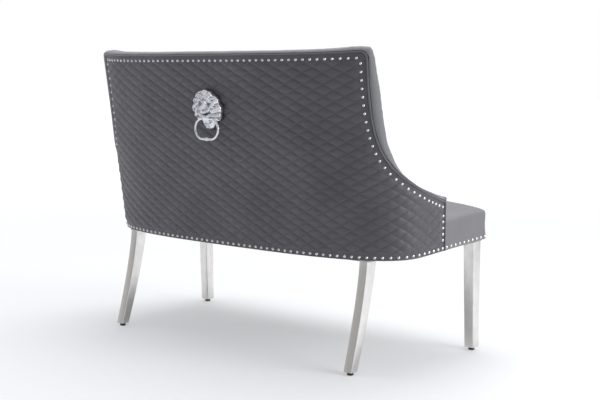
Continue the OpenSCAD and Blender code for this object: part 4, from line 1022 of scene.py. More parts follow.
@dataclass
class EdgeTrim:
    """The rounded edge roll and the welt cord round the shell's sewn edge."""

    roll_w: float = 0.052
    top_tail: float = 0.023
    side_tail: float = 0.015
    welt_r: float = 0.003
    step: float = 0.006
    smoothing: int = 4
    ear_lift: float = 0.0035
    rounded: range = range(1, 9)
    cross_seams: tuple[float, float] = (-0.115, 0.16)
    ear_reach: float = 0.075
    ear_from: tuple[float, float] = (0.90, 0.955)
    welt_sides: int = 10
    welt_gap: float = 0.0003

    def stations(self) -> tuple[Array, Array, Array, Array]:
        """Places along the edge, their rise vectors, unit normals, and how far each is on the top stretch."""
        path, reach = SHELL.full_edge(self.step)
        normal = normals_of(path)
        normal[0] = normal[-1] = (0.0, 1.0)
        on_top = ease(normal[:, 1], 0.35, 0.95) * (path[:, 1] > 0.9)
        return path, reach, normal, on_top

    def roll_outline(self) -> list[tuple[str, float, float]]:
        """The roll's section: what a reach counts from, the reach, and the inset."""
        w, d = self.roll_w, 2 * self.welt_r
        return [("tail", -1.0, 0.55 * w), ("tail", -0.8, 0.94 * w), ("rise", 0.0, w), ("rise", 0.62, 0.98 * w),
                ("rise", 0.98, 0.80 * w), ("rise", 1.06, 0.52 * w), ("rise", 0.92, 0.22 * w),
                ("rise", 0.70, 0.06 * w), ("rise", 0.40, -0.03 * w),
                ("flat", 1.25 * d, -0.1 * d), ("flat", 1.1 * d, 0.83 * d),
                ("flat", 0.7 * d, 0.0069), ("tail", -1.0, 0.0069)]

    def build_roll(self) -> None:
        """Makes the edge roll, with its pleats and small cross seams."""
        path, reach, normal, on_top = self.stations()
        tail = mix(self.side_tail, self.top_tail, on_top)
        along = lengths_along(path)
        corner_at = [float(along[np.argmax(path[:, 1] + path[:, 0] * side.value)]) for side in Side]
        swell = 1 + 0.02 * np.sin(along * 41) * np.sin(along * 17 + 1)
        for at in corner_at:
            off = along - at
            swell -= 0.09 * bell(off, 0.004) + 0.18 * bell(off, 0.013)
            swell -= 0.035 * np.sin(off * 260) * bell(off, 0.05)
            for seam in self.cross_seams:
                swell -= 0.05 * bell(off - seam, 0.0035)
        swell += 0.26 * ease(path[:, 1], 0.68, 0.88) * (1 - on_top)
        ear = sum(self.ear_lift * ease(path[:, 1], *self.ear_from) * bell(along - at, self.ear_reach)
                  for at in corner_at)
        rows = []
        for kind, amount, inset in self.roll_outline():
            if kind == "rise":
                out = path + reach * (amount * (1 + (swell - 1) * (amount > 0.3)))[:, None]
                out[:, 1] += ear * amount
            else:
                out = path + normal * (amount * (tail[:, None] if kind == "tail" else 1.0))
            rows.append(np.concatenate([out, np.full((len(path), 1), inset)], axis=1))
        loop = np.stack(rows, axis=1)
        count = loop.shape[1]
        fine = []
        for j in range(count):
            p = [loop[:, (j + k) % count] for k in (-1, 0, 1, 2)]
            for t in np.arange(self.smoothing) / self.smoothing:
                if j in self.rounded:
                    fine.append(0.5 * (2 * p[1] + (p[2] - p[0]) * t
                                       + (2 * p[0] - 5 * p[1] + 4 * p[2] - p[3]) * t ** 2
                                       + (3 * p[1] - p[0] - 3 * p[2] + p[3]) * t ** 3))
                else:
                    fine.append(mix(p[1], p[2], t))
        fine = np.stack(fine, axis=1)
        piece = loft("edge_roll_leather", SHELL.point(fine[..., 0], fine[..., 1], fine[..., 2]))
        WARDROBE.put_on(piece, "roll_leather", 60)
        settle(piece, "edge_roll")

    def build_welt(self) -> None:
        """Makes the welt cord along the sewn edge."""
        path, _, normal, _ = self.stations()
        turns = np.radians(np.arange(self.welt_sides) * 360.0 / self.welt_sides)
        middle = self.welt_r + self.welt_gap
        out = path[:, None] + normal[:, None] * (middle + self.welt_r * np.cos(turns))[None, :, None]
        inset = np.broadcast_to(self.welt_r - self.welt_gap + self.welt_r * np.sin(turns), out.shape[:2])
        piece = loft("welt_piping", SHELL.point(out[..., 0], out[..., 1], inset))
        WARDROBE.put_on(piece, "welt_fabric", 60)
        settle(piece, "welt_cord")


@dataclass
class InnerPads:
    """The plain padded inner face of the back and of both arms."""

    foam_in: float = 0.0428
    edge_t: float = 0.008
    crown: float = 0.030
    low: float = 0.0761
    edge_gap: float = 0.0233
    arm_foam_in: float = 0.0352
    arm_t: float = 0.061
    arm_fall: float = 0.004
    press: float = 0.0095
    clear: float = 0.0016
    seams: int = 3
    seam_pull: float = 0.006
    seam_w: float = 0.25
    back_columns: int = 113
    arm_soft: float = 0.001
    facing_in: float = 0.6433
    facing_step: float = 0.0712
    facing_grain: float = 0.012

    def pressed(self, s: Array, z: Array, inset: Array) -> Array:
        """Lets a face swell below the seat's rim until it all but meets the cushion.

        Args:
            s: Girth of each point.
            z: Height of each point.
            inset: Inset of the face before it swells.

        Returns:
            The inset of the swollen face.
        """
        place = SHELL.point(s, z, inset)
        rim = SHELL.base_at(place[:, 1]) + Seat.edge_h
        room = np.clip(Seat().room_outside(place) - self.clear, 0, self.press)
        return inset + room * (1 - ease(z, float(rim.mean()) + 0.01, float(rim.mean()) + 0.10))

    def slab(self, name: str, girths: Sequence[Callable[[Array], Array]], low: Array, high: Array, back: float,
             face: Callable[[Array, Array], Array], rows: int) -> Piece:
        """Makes a pad between an even back and a swelling face.

        Args:
            name: The piece's name.
            girths: A function for each column, from heights to its girths there.
            low: Height of each column's foot.
            high: Height of each column's top.
            back: Inset of the pad's back.
            face: Inset of the face, from the column's share and the height's share.
            rows: Points up the face.

        Returns:
            The pad.
        """
        v = np.linspace(0, 1, rows)
        sections = []
        for n, s_of in enumerate(girths):
            z = mix(low[n], high[n], v)
            share = np.full(rows, n / (len(girths) - 1))
            s = s_of(z)
            front = SHELL.point(s, z, self.pressed(s, z, face(share, v)))
            rear = SHELL.point(s[::-1], z[::-1], np.full(rows, back))
            sections.append(np.concatenate([front, rear]))
        return loft(name, np.stack(sections))

    def build_back(self) -> None:
        """Makes the back pad."""
        last = SHELL.back_count - 1
        columns = np.linspace(-last, last, self.back_columns)
        foot_s = SHELL.column_s(columns, np.full(self.back_columns, SHELL.low_z))
        foot = SHELL.point(foot_s, SHELL.low_z, 0.0)[:, 1]
        low = SHELL.base_at(foot) + self.low
        high = SHELL.top_at(columns / SHELL.back_count * float(SHELL.edge_s(SHELL.welt_z))) - self.edge_gap

        def face(share: Array, v: Array) -> Array:
            """Inset of the crowned face, with soft pulls along three upright seams."""
            c = (share * 2 - 1) * last
            fade = 1 - np.abs(2 * v - 1) ** 4
            body = self.crown * (1 - (np.abs(c) / last) ** 6) * fade
            seams = np.linspace(-last / 2, last / 2, self.seams)
            pulls = sum(bell(c - k, self.seam_w) for k in seams) * self.seam_pull * fade
            soft = 0.0012 * np.sin(c * 1.9 + v * 7) * np.sin(v * 11 + c) * (1 - np.abs(2 * v - 1) ** 2)
            return self.foam_in + self.edge_t + body - pulls + soft

        girths = [lambda z, c=c: SHELL.column_s(np.full(len(z), c), z) for c in columns]
        piece = self.slab("inner_back_pad", girths, low, high, self.foam_in, face, 41)
        WARDROBE.put_on(piece, "inner_leather", 50)
        settle(piece, "inner_back_cover", "back_foam")

    def build_arm(self, side: Side) -> None:
        """Makes one arm's pad.

        Args:
            side: Which arm.
        """
        girth = np.linspace(SHELL.knee_s - SHELL.band + 0.0006, SHELL.front_s - 0.0023, 33)
        depth = SHELL.point(girth, SHELL.low_z, 0.0)[:, 1]
        low = SHELL.base_at(depth) + self.low
        edge = SHELL.full_edge(0.004)[0]
        half = edge[edge[:, 0] > 0][:-1]
        half = half[half[:, 1] < SHELL.knee_z + 0.03]
        high = np.interp(girth, half[::-1, 0], half[::-1, 1]) - self.edge_gap

        def face(share: Array, v: Array) -> Array:
            """Inset of the arm's face."""
            soft = self.arm_soft * np.sin(share * 9) * np.sin(v * 7) ** 2
            return self.arm_t - self.arm_fall * np.abs(2 * v - 1) ** 4 - soft

        girths = [lambda z, s=s: np.full(len(z), s * side.value) for s in girth]
        piece = self.slab(f"inner_arm_pad_{side.word}", girths, low, high, self.arm_foam_in, face, 25)
        WARDROBE.put_on(piece, "inner_leather", 50)
        settle(piece, f"inner_arm_cover_{side.word}", f"arm_foam_{side.word}")

    def build_facing(self, side: Side) -> None:
        """Makes the padded facing over an arm's front.

        Args:
            side: Which arm.
        """
        front = SHELL.arm_front_y
        low = float(SHELL.base_at(np.array(front))) + 0.0003
        step = low + self.facing_step
        wide = SHELL.half_low
        section = ((0.8, -0.0016), (0.96, 0.0073), (1.0, 0.0218), (0.9, 0.0374), (0.55, 0.0494), (0.0, 0.052))
        arc = [(wide - t, SHELL.arm_z + SHELL.arm_rise * r) for r, t in section]
        outline = [(self.facing_in, low), (wide, low), (wide, SHELL.arm_z + 0.006), *arc,
                   (wide - self.arm_t, SHELL.arm_z - self.edge_gap), (wide - self.arm_t, step),
                   (self.facing_in, step)]
        dense = []
        for a, b in zip(outline, outline[1:] + outline[:1]):
            cuts = max(1, int(math.dist(a, b) / self.facing_grain))
            dense += [(a[0] + (b[0] - a[0]) * k / cuts, a[1] + (b[1] - a[1]) * k / cuts) for k in range(cuts)]
        rim = np.array(dense)
        along = np.roll(rim, -1, axis=0) - np.roll(rim, 1, axis=0)
        inwards = np.stack([-along[:, 1], along[:, 0]], axis=1)
        inwards /= np.linalg.norm(inwards, axis=1, keepdims=True)
        layers = []
        for out, drawn in ((0.0003, 0.0), (0.0018, 0.0), (0.0028, 0.0006), (0.0033, 0.0018), (0.0035, 0.0035)):
            place = rim + inwards * drawn
            depth = np.full(len(rim), front - out)
            layers.append(np.stack([side.value * place[:, 0], depth, place[:, 1]], axis=1))
        piece = loft(f"arm_facing_leather_{side.word}", np.stack(layers))
        WARDROBE.put_on(piece, "roll_leather", 40)
        settle(piece, f"arm_facing_{side.word}")


@dataclass
class Seat:
    """The crowned seat with its plain walls, the webbing under it and the dust cloth below."""

    half: float = 0.647
    front_y: float = -0.341
    edge_h: float = 0.088
    crown_h: float = 0.138
    corner_r: float = 0.020
    arm_t: float = 0.061
    notch_y: float = -0.0919
    rear_in: float = 0.0845
    line_z: float = 0.499
    web_h: float = 0.0749
    skin: float = 0.0035
    mid_y: float = -0.2088
    waist: float = 0.0035
    round_share: float = 1.8
    squeeze: float = 0.004
    strap_w: float = 0.05
    strap_t: float = 0.0016
    strap_span: float = 2 * 0.618 * 0.84
    strap_count: int = 8
    strap_front_y: float = -0.335
    strap_h: float = 0.0713
    cross_half: float = 0.641
    cross_at: tuple[float, float] = (-0.266, -0.158)
    cross_h: float = 0.0735
    crown_shares: tuple[float, ...] = (0.995, 0.99, 0.98, 0.965, 0.945, 0.92, 0.89, 0.855, 0.815, 0.77, 0.72,
                                       0.665, 0.61, 0.55, 0.485, 0.42, 0.35, 0.28, 0.21, 0.14, 0.07, 0.004)

    def on_base(self, places: Array) -> Array:
        """Carries places into the sloping plane of the underside."""
        c, s = math.cos(SHELL.base_tilt), math.sin(SHELL.base_tilt)
        y = places[..., 1] - SHELL.rear_low
        z = places[..., 2]
        return np.stack([places[..., 0], SHELL.rear_low + y * c + z * s, SHELL.low_z - y * s + z * c], axis=-1)

    def outline(self) -> tuple[Array, Array]:
        """The seat's outline, and whether its wall runs down over the frame there."""
        turn = np.radians(np.linspace(0, 90, 9))
        across = np.linspace(0, self.half - self.corner_r, 40)[:-1]
        rows = [np.stack([across, np.full(39, self.front_y)], axis=1)]
        rows.append(np.stack([self.half - self.corner_r + self.corner_r * np.sin(turn),
                              self.front_y + self.corner_r - self.corner_r * np.cos(turn)], axis=1))
        y = np.linspace(self.front_y + self.corner_r, self.notch_y - 0.0008, 14)[1:]
        rows.append(np.stack([np.full(13, self.half), y], axis=1))
        wrap = [np.ones(sum(len(r) for r in rows))]
        rows.append(np.array([(self.half - back, self.notch_y) for back in (0.0, 0.02, 0.04, self.arm_t)]))
        side_in = float(SHELL.point(SHELL.curve_len, self.line_z, 0.0)[0]) - self.half + self.arm_t
        s = np.linspace(SHELL.curve_len, 0, 60)
        t = np.clip((s / SHELL.pitch - SHELL.back_count + 3) / 3, 0, 1)
        rear = SHELL.point(s, self.line_z, mix(self.rear_in, side_in, t))[:, :2]
        back = np.linspace(self.notch_y, rear[0, 1], 10)[1:-1]
        side = np.stack([np.full(8, self.half - self.arm_t), back], axis=1)
        rows += [side, rear]
        wrap.append(np.zeros(4 + 8 + 60))
        half, down = np.concatenate(rows), np.concatenate(wrap)
        other = half[-2:0:-1] * (-1.0, 1.0)
        return np.concatenate([half, other]), np.concatenate([down, down[-2:0:-1]])

    def pushed(self) -> Array:
        """How far each point of the outline moves outwards where the cushion meets the pads."""
        outline, down = self.outline()
        inner = (down < 1) & (outline[:, 1] > self.notch_y + 0.0001)
        along = np.roll(outline, -1, axis=0) - np.roll(outline, 1, axis=0)
        along /= np.linalg.norm(along, axis=1, keepdims=True)
        reach = np.where(inner, self.squeeze * ease(outline[:, 1], self.notch_y, self.notch_y + 0.05), 0.0)
        return np.stack([along[:, 1], -along[:, 0]], axis=1) * reach[:, None]

    def room_outside(self, places: Array) -> Array:
        """Distance from places outside the cushion to its swollen wall, each at its own height."""
        outline = self.outline()[0] + self.pushed()
        back = places[:, 1] - math.tan(SHELL.base_tilt) * (places[:, 2] - SHELL.low_z) - SHELL.rear_low
        flat = np.stack([places[:, 0], SHELL.rear_low + back * math.cos(SHELL.base_tilt)], axis=1)
        run = np.roll(outline, -1, axis=0) - outline
        gap = flat[:, None] - outline[None]
        share = np.clip((gap * run).sum(axis=2) / (run ** 2).sum(axis=1), 0, 1)
        away = gap - share[..., None] * run
        near = np.linalg.norm(away, axis=2)
        best = near.argmin(axis=1)
        pick = np.arange(len(flat))
        outwards = run[best, 1] * away[pick, best, 0] - run[best, 0] * away[pick, best, 1]
        return near[pick, best] * np.sign(outwards)

    def build(self) -> None:
        """Makes the seat."""
        outline, down = self.outline()
        pushed = self.pushed()
        near_arm = ease(outline[:, 1], self.notch_y - 0.04, self.notch_y - 0.0008)
        follow = np.where(outline[:, 1] < self.notch_y + 0.0001, near_arm, 0)
        middle = np.array([0.0, self.mid_y])
        rings = []

        def ring(share: float, height: Array) -> None:
            """Adds one ring at a share of the outline, swollen towards the pads near the rim."""
            swell = ease(height, self.web_h + 0.001, self.web_h + 0.008)[:, None] * share ** 8
            place = middle + (outline - middle) * share + pushed * swell
            place[:, 1] += follow * math.tan(SHELL.base_tilt) * np.clip(1.15 * self.edge_h - height, 0, None)
            rings.append(np.concatenate([place, height[:, None]], axis=1))

        def wall(low: float, high: float) -> Array:
            """A height for the wrapped part and one for the rest."""
            return np.where(down > 0, low, high)

        for low, high, waist in ((0.0003, self.web_h + 0.0009, 0.0), (0.012, self.web_h + 0.0013, 0.1),
                                 (0.0183, self.web_h + 0.0015, 0.35), (0.033, self.web_h + 0.0018, 0.9),
                                 (0.0528, self.web_h + 0.0021, 1.0), (0.070, self.web_h + 0.0060, 0.2)):
            ring(1 - self.waist * waist, wall(low, high))
        ring(1.0, wall(self.edge_h - 0.006, self.edge_h - 0.003))
        ring(0.9985, np.full(len(outline), self.edge_h - 0.001))
        ring(0.9965, np.full(len(outline), self.edge_h + 0.0015))
        for rho in self.crown_shares:
            dome = (1 - rho ** self.round_share) ** (1 / self.round_share)
            height = self.edge_h + (self.crown_h - self.edge_h) * dome
            ring(rho, np.full(len(outline), height))
        places = np.stack(rings)
        crown = ease(places[..., 2], self.edge_h, self.crown_h)
        x, y = places[..., 0], places[..., 1]
        places[..., 2] -= crown * 0.0045 * bell(x, 0.006)
        places[..., 2] += crown * 0.0014 * np.sin(x * 23 + y * 9) * np.sin(y * 31 - x * 5)
        places[..., 2] -= crown * 0.006 * (bell(x - 0.3, 0.17) + bell(x + 0.3, 0.17)) * bell(y + 0.15, 0.14)
        piece = loft("seat_cushion", self.on_base(places), cap=False)
        self.close_top(piece)
        with_modifier(piece, "SOLIDIFY", thickness=self.skin, offset=-1.0)
        WARDROBE.put_on(piece, "seat_leather", 50)
        settle(piece, "seat_cover", "seat_foam")

    def close_top(self, piece: Piece) -> None:
        """Merges the innermost ring and turns the skin outwards."""
        co = corners_of(piece)
        inner = np.hypot(co[:, 0], co[:, 1] - co[np.argmax(co[:, 2]), 1]) < 0.004
        inner &= co[:, 2] > 0.45
        alone(piece)
        piece.data.polygons.foreach_set("select", np.zeros(len(piece.data.polygons), bool))
        piece.data.edges.foreach_set("select", np.zeros(len(piece.data.edges), bool))
        piece.data.vertices.foreach_set("select", inner)
        bpy.ops.object.mode_set(mode="EDIT")
        bpy.ops.mesh.merge(type="CENTER")
        bpy.ops.object.mode_set(mode="OBJECT")
        turn_out(piece, lambda f: f.center.z, 2)

    def strap(self, name: str, start: Sequence[float], end: Sequence[float], height: float) -> Piece:
        """Makes one flat strap.

        Args:
            name: The piece's name.
            start: Plan place of one end.
            end: Plan place of the other.
            height: Height over the underside.

        Returns:
            The strap.
        """
        start, end = np.array(start), np.array(end)
        way = (end - start) / np.linalg.norm(end - start)
        cross = np.array([-way[1], way[0]]) * self.strap_w / 2
        corners = ((-1, -1), (1, -1), (1, 1), (-1, 1))
        sections = [[[*(start + (end - start) * t + cross * side), height + self.strap_t / 2 * up]
                     for side, up in corners] for t in np.linspace(0, 1, 41)]
        return loft(name, self.on_base(np.array(sections)))

    def build_webbing(self) -> None:
        """Makes the crossing straps that carry the seat's foam."""
        straps = []
        for i in range(self.strap_count):
            x = -self.strap_span / 2 + self.strap_span * i / (self.strap_count - 1)
            ends = (x, self.strap_front_y), (x, SHELL.rear_y(x, 0.027))
            straps.append(self.strap(f"strap_{i}", *ends, self.strap_h))
        for k, y in enumerate(self.cross_at):
            ends = (-self.cross_half, y), (self.cross_half, y)
            straps.append(self.strap(f"cross_strap_{k}", *ends, self.cross_h))
        alone(straps[0])
        for strap in straps[1:]:
            strap.select_set(True)
        bpy.ops.object.join()
        straps[0].name = straps[0].data.name = "webbing_straps"
        WARDROBE.put_on(straps[0], "webbing")
        settle(straps[0], "seat_webbing")

    def build_dust_cloth(self) -> None:
        """Makes the cloth stapled under the frame, cut away round the leg plates."""
        side, front = 0.6251, -0.3191
        half = [(0.0, front), (0.18, front), (0.36, front), (0.538, front), (0.538, -0.217), (0.538, -0.205),
                (side, -0.205), (side, -0.12), (side, -0.03), (side, 0.061), (0.53, 0.061), (0.442, 0.061)]
        half = np.array(half + [(x, SHELL.rear_y(x, 0.018)) for x in np.linspace(0.442, 0.0, 9)])
        outline = np.concatenate([half, half[-2:0:-1] * (-1.0, 1.0)])
        middle = np.array([0.0, -0.06])
        layers = []
        for share in (1.0, 0.97, 0.9, 0.8, 0.65, 0.5, 0.35, 0.2, 0.05, 0.002):
            place = middle + (outline - middle) * share
            sag = -0.0008 - 0.004 * (1 - share ** 2)
            layers.append(np.concatenate([place, np.full((len(place), 1), sag)], axis=1))
        piece = loft("dust_cloth_panel", self.on_base(np.stack(layers)), cap=False)
        with_modifier(piece, "SOLIDIFY", thickness=0.0005, offset=0.0)
        WARDROBE.put_on(piece, "dust_cloth")
        settle(piece, "dust_cover")


@dataclass(frozen=True)
class LegForm:
    """One pair of legs: where a leg starts, how it rakes and how its section tapers."""

    name: str
    top: tuple[float, float]
    rake: float
    top_size: tuple[float, float]
    foot_size: tuple[float, float]


@dataclass
class Legs:
    """Four tapering rectangular tube legs, the rear pair raked and curved."""

    pairs: tuple[LegForm, ...] = (
        LegForm("front_leg", (0.620, -0.287), -0.007, (0.041, 0.041), (0.0346, 0.0346)),
        LegForm("rear_leg", (0.525, 0.144), 0.082, (0.0306, 0.046), (0.0306, 0.032)))
    sabre: float = 1.3
    edge_r: float = 0.003
    wall: float = 0.0015
    foot_z: float = 0.010
    plate_t: float = 0.004
    corner_steps: int = 5

    def section(self, size: Array) -> Array:
        """A rectangle of a width and depth, with rounded corners."""
        rows = []
        for i in range(4):
            mid = math.radians(i * 90 + 45)
            for j in range(self.corner_steps):
                a = math.radians(i * 90 + 90 * j / (self.corner_steps - 1))
                x = math.copysign(size[0] / 2 - self.edge_r, math.cos(mid)) + self.edge_r * math.cos(a)
                y = math.copysign(size[1] / 2 - self.edge_r, math.sin(mid)) + self.edge_r * math.sin(a)
                rows.append((x, y))
        return np.array(rows)

    def build(self) -> None:
        """Makes the four legs."""
        for form in self.pairs:
            for side in Side:
                self.build_leg(form, side)

    def build_leg(self, form: LegForm, side: Side) -> None:
        """Makes one leg.

        Args:
            form: The pair it belongs to.
            side: Its side.
        """
        x, y = side.value * form.top[0], form.top[1]
        under = self.plate_t / math.cos(SHELL.base_tilt)
        top_z = float(SHELL.base_at(np.array(y))) - under
        sections = []
        for t in np.linspace(0, 1, 33):
            size = mix(np.array(form.top_size), np.array(form.foot_size), t)
            ring = self.section(size) + (x, y + form.rake * t ** self.sabre)
            z = SHELL.base_at(ring[:, 1]) - under if t == 0 else np.full(len(ring), mix(top_z, self.foot_z, t))
            sections.append(np.concatenate([ring, z[:, None]], axis=1))
        piece = loft(f"{form.name}_tube_{side.word}", np.stack(sections), cap=False)
        turn_out(piece, lambda f: f.center.x, 0)
        with_modifier(piece, "SOLIDIFY", thickness=self.wall, offset=-1.0, use_even_offset=True)
        WARDROBE.put_on(piece, "leg_steel", 35)
        settle(piece, f"{form.name}_{side.word}")


@dataclass
class LionMask:
    """The cast lion head that holds the knocker's ring."""

    mid_y: float = 0.2994
    mid_z: float = 0.805
    lean: float = math.radians(9.926)
    depth: float = 46.0
    sectors: int = 240
    rings: int = 96
    lobes: float = 5.5
    outline_at: tuple[float, ...] = (0, 10, 20, 27, 33, 40, 64, 90, 120, 145, 180)
    outline_r: tuple[float, ...] = (78, 77, 70, 64, 63, 69, 71, 64, 58, 54, 53)

    def outer(self, a: Array) -> Array:
        """Radius of the mask's outline at an angle, in millimetres."""
        turned = a - np.pi / 2
        off = np.degrees(np.abs(np.angle(np.exp(1j * (a + np.pi / 2)))))
        whole = np.interp(off, self.outline_at, self.outline_r)
        wave = 0.11 * ease(off, 24, 38)
        lobed = 1 - wave + wave * np.abs(np.cos(self.lobes * turned)) ** 0.6
        return whole * lobed * (1 + 0.02 * np.cos(a * 60) * (off < 24))

    def locks(self, a: Array, rho: Array, low: float, high: float, turn: float) -> Array:
        """One tier of overlapping locks of the mane, from 0 to 1.

        Args:
            a: Angle.
            rho: Share of the outline's radius.
            low: Share at which the tier starts.
            high: Share at which it ends.
            turn: Turns the tier against the next one.

        Returns:
            The height of the locks.
        """
        t = np.clip((rho - low) / (high - low), 0, 1)
        sway = 0.16 * np.sin(2 * a) * t
        across = np.abs(np.cos(self.lobes * (a - np.pi / 2 + sway) + turn)) ** 0.55
        strands = 0.10 * np.cos(46 * (a + sway) + 5 * t)
        return np.sin(np.pi * t ** 0.75) ** 0.6 * (across + strands)

    def relief(self, x: Array, u: Array, rho: Array, a: Array) -> Array:
        """Height of the casting over the back, in millimetres.

        Args:
            x: Across.
            u: Up.
            rho: Share of the outline's radius.
            a: Angle.

        Returns:
            The height.
        """
        m = np.abs(x)
        high = self.depth * (0.12 + 0.30 * np.sqrt(np.clip(1 - rho ** 2, 0, 1)))
        for tall, start, end, turn in ((8.0, 0.40, 0.66, 0.9), (8.0, 0.58, 0.86, 2.2), (7.0, 0.76, 1.06, 0.0)):
            high += tall * self.locks(a, rho, start, end, turn)
        # A groove parts the face from the mane
        high -= 8.0 * bell(rho - 0.42, 0.05) * (u > -24)
        # Muzzle, and the bridge of the nose
        high += 16 * bell(x, 14) * bell(u + 12, 18)
        high += 6.5 * bell(x, 6.0) * ease(u, -14, 0) * (1 - ease(u, 14, 30))
        # Brows, then sockets with the eyeballs in them
        high += 8.0 * bell(m - 15, 8) * bell(u - 14.5 - 0.18 * m, 4.6)
        high -= 12 * bell(m - 15, 6.2) * bell(u - 4.5, 5.0)
        high += 6.5 * np.sqrt(np.clip(1 - ((m - 15.0) / 4.4) ** 2 - ((u - 4.8) / 3.2) ** 2, 0, 1))
        # Upper lips, tip of the nose, nostrils, and the mouth
        high += 6.5 * bell(m - 9.0, 6.5) * bell(u + 18, 7) + 4.5 * bell(x, 8.0) * bell(u + 6.5, 4.6)
        high -= 4.2 * bell(m - 5.0, 2.2) * bell(u + 10.5, 2.4) + 3.4 * bell(x, 1.5) * bell(u + 18, 5)
        high -= 11.0 * bell(u + 28.0 - 0.016 * m ** 2, 2.6) * (1 - ease(m, 15, 20))
        # Cheeks, and hollow ears
        high += 6.0 * bell(m - 26, 7) * bell(u + 9, 11)
        ear = np.hypot(m - 31, u - 30)
        high += 11 * bell(ear, 8.5) - 9 * bell(ear, 4.2)
        # Flat beside the jaw, then the jaw and its bearded tuft
        low = bell(m - 38, 24) * (1 - ease(u, -46, -32))
        high = mix(high, np.minimum(high, 8.0), np.clip(low * 1.6, 0, 1))
        jaw = 27.5 * np.clip(1 - (m / 15.5) ** 4 - (np.abs(u + 43) / 17.5) ** 4, 0, 1) ** 0.3
        tuft = 13.0 * np.clip(1 - (m / 29.0) ** 4, 0, 1) ** 0.4 * ease(-u, 44, 54)
        beard = np.maximum(jaw, tuft)
        beard -= 2.6 * np.abs(np.sin(x * 0.42 + 0.10 * u)) * (u < -46)
        beard -= 1.6 * np.abs(np.sin(u * 0.33 + m * 0.3)) * (u < -50)
        return np.maximum(high, beard)

    def hollows(self, high: Array, x: Array, u: Array) -> Array:
        """How much painted shade the casting gets: in places lower than those around them, the eyes, nostrils
        and mouth.

        Args:
            high: Heights, a row for each ring.
            x: Across.
            u: Up.

        Returns:
            The painted shade, from 0 to 1.
        """
        mean = high.copy()
        for _ in range(7):
            round_it = (mean + np.roll(mean, 1, axis=1) + np.roll(mean, -1, axis=1)) / 3
            inner = np.concatenate([round_it[:1], round_it[:-1]])
            outer = np.concatenate([round_it[1:], round_it[-1:]])
            mean = (round_it + inner + outer) / 3
        m = np.abs(x)
        eyes = bell(m - 15, 5.5) * bell(u - 5.0, 3.6) + 0.9 * bell(m - 5.0, 2.4) * bell(u + 10.5, 2.6)
        mouth = 0.8 * bell(u + 28.0 - 0.016 * m ** 2, 2.8) * (1 - ease(m, 12, 18))
        mouth += 0.45 * bell(m - 12, 5) * bell(u + 9, 6)
        return np.maximum(np.clip((mean - high) / 2.4 - 0.1, 0, 0.75), np.clip(eyes + mouth, 0, 1))

    def build(self) -> None:
        """Makes the mask."""
        a = np.linspace(0, 2 * np.pi, self.sectors, endpoint=False)
        layers, heights, plan = [], [], []
        for rho in np.linspace(0.004, 1, self.rings):
            radius = self.outer(a) * rho
            x, u = radius * np.cos(a), radius * np.sin(a)
            rim = math.sqrt(max(0.0, 1 - ease(np.array(rho), 0.955, 1.0) ** 2))
            heights.append(self.relief(x, u, np.full(len(a), rho), a) * (0.35 + 0.65 * rim))
            plan.append((x, u))
            layers.append(np.stack([x, heights[-1], u], axis=1))
        last = layers[-1]
        layers.append(np.stack([last[:, 0], np.full(len(a), 0.3), last[:, 2]], axis=1))
        hollow = self.hollows(np.stack(heights), *np.stack(plan, axis=1))
        # Painted shade also on the closing rim, where the casting meets the back
        hollow = np.concatenate([hollow, np.full((1, len(a)), 0.6)])
        local = np.stack(layers) * MM
        c, s = math.cos(self.lean), math.sin(self.lean)
        out, up = local[..., 1], local[..., 2]
        y, z = self.mid_y + out * c + up * s, self.mid_z - out * s + up * c
        placed = np.stack([local[..., 0], y, z], axis=-1)
        piece = loft("lion_mask_casting", placed)
        self.darken(piece, placed.reshape(-1, 3), hollow.ravel())
        WARDROBE.put_on(piece, "bright_cast", 70)
        settle(piece, "lion_mask")

    @staticmethod
    def darken(piece: Piece, places: Array, hollow: Array) -> None:
        """Stores how hollow the casting is at each vertex, for the painted shade in its hollows.

        Args:
            piece: The casting.
            places: Where the values were worked out.
            hollow: The values.
        """
        tree = KDTree(len(places))
        for i, place in enumerate(places):
            tree.insert(place, i)
        tree.balance()
        values = [float(hollow[tree.find(v.co)[1]]) for v in piece.data.vertices]
        layer = piece.data.attributes.new("hollow", "FLOAT", "POINT")
        layer.data.foreach_set("value", values)


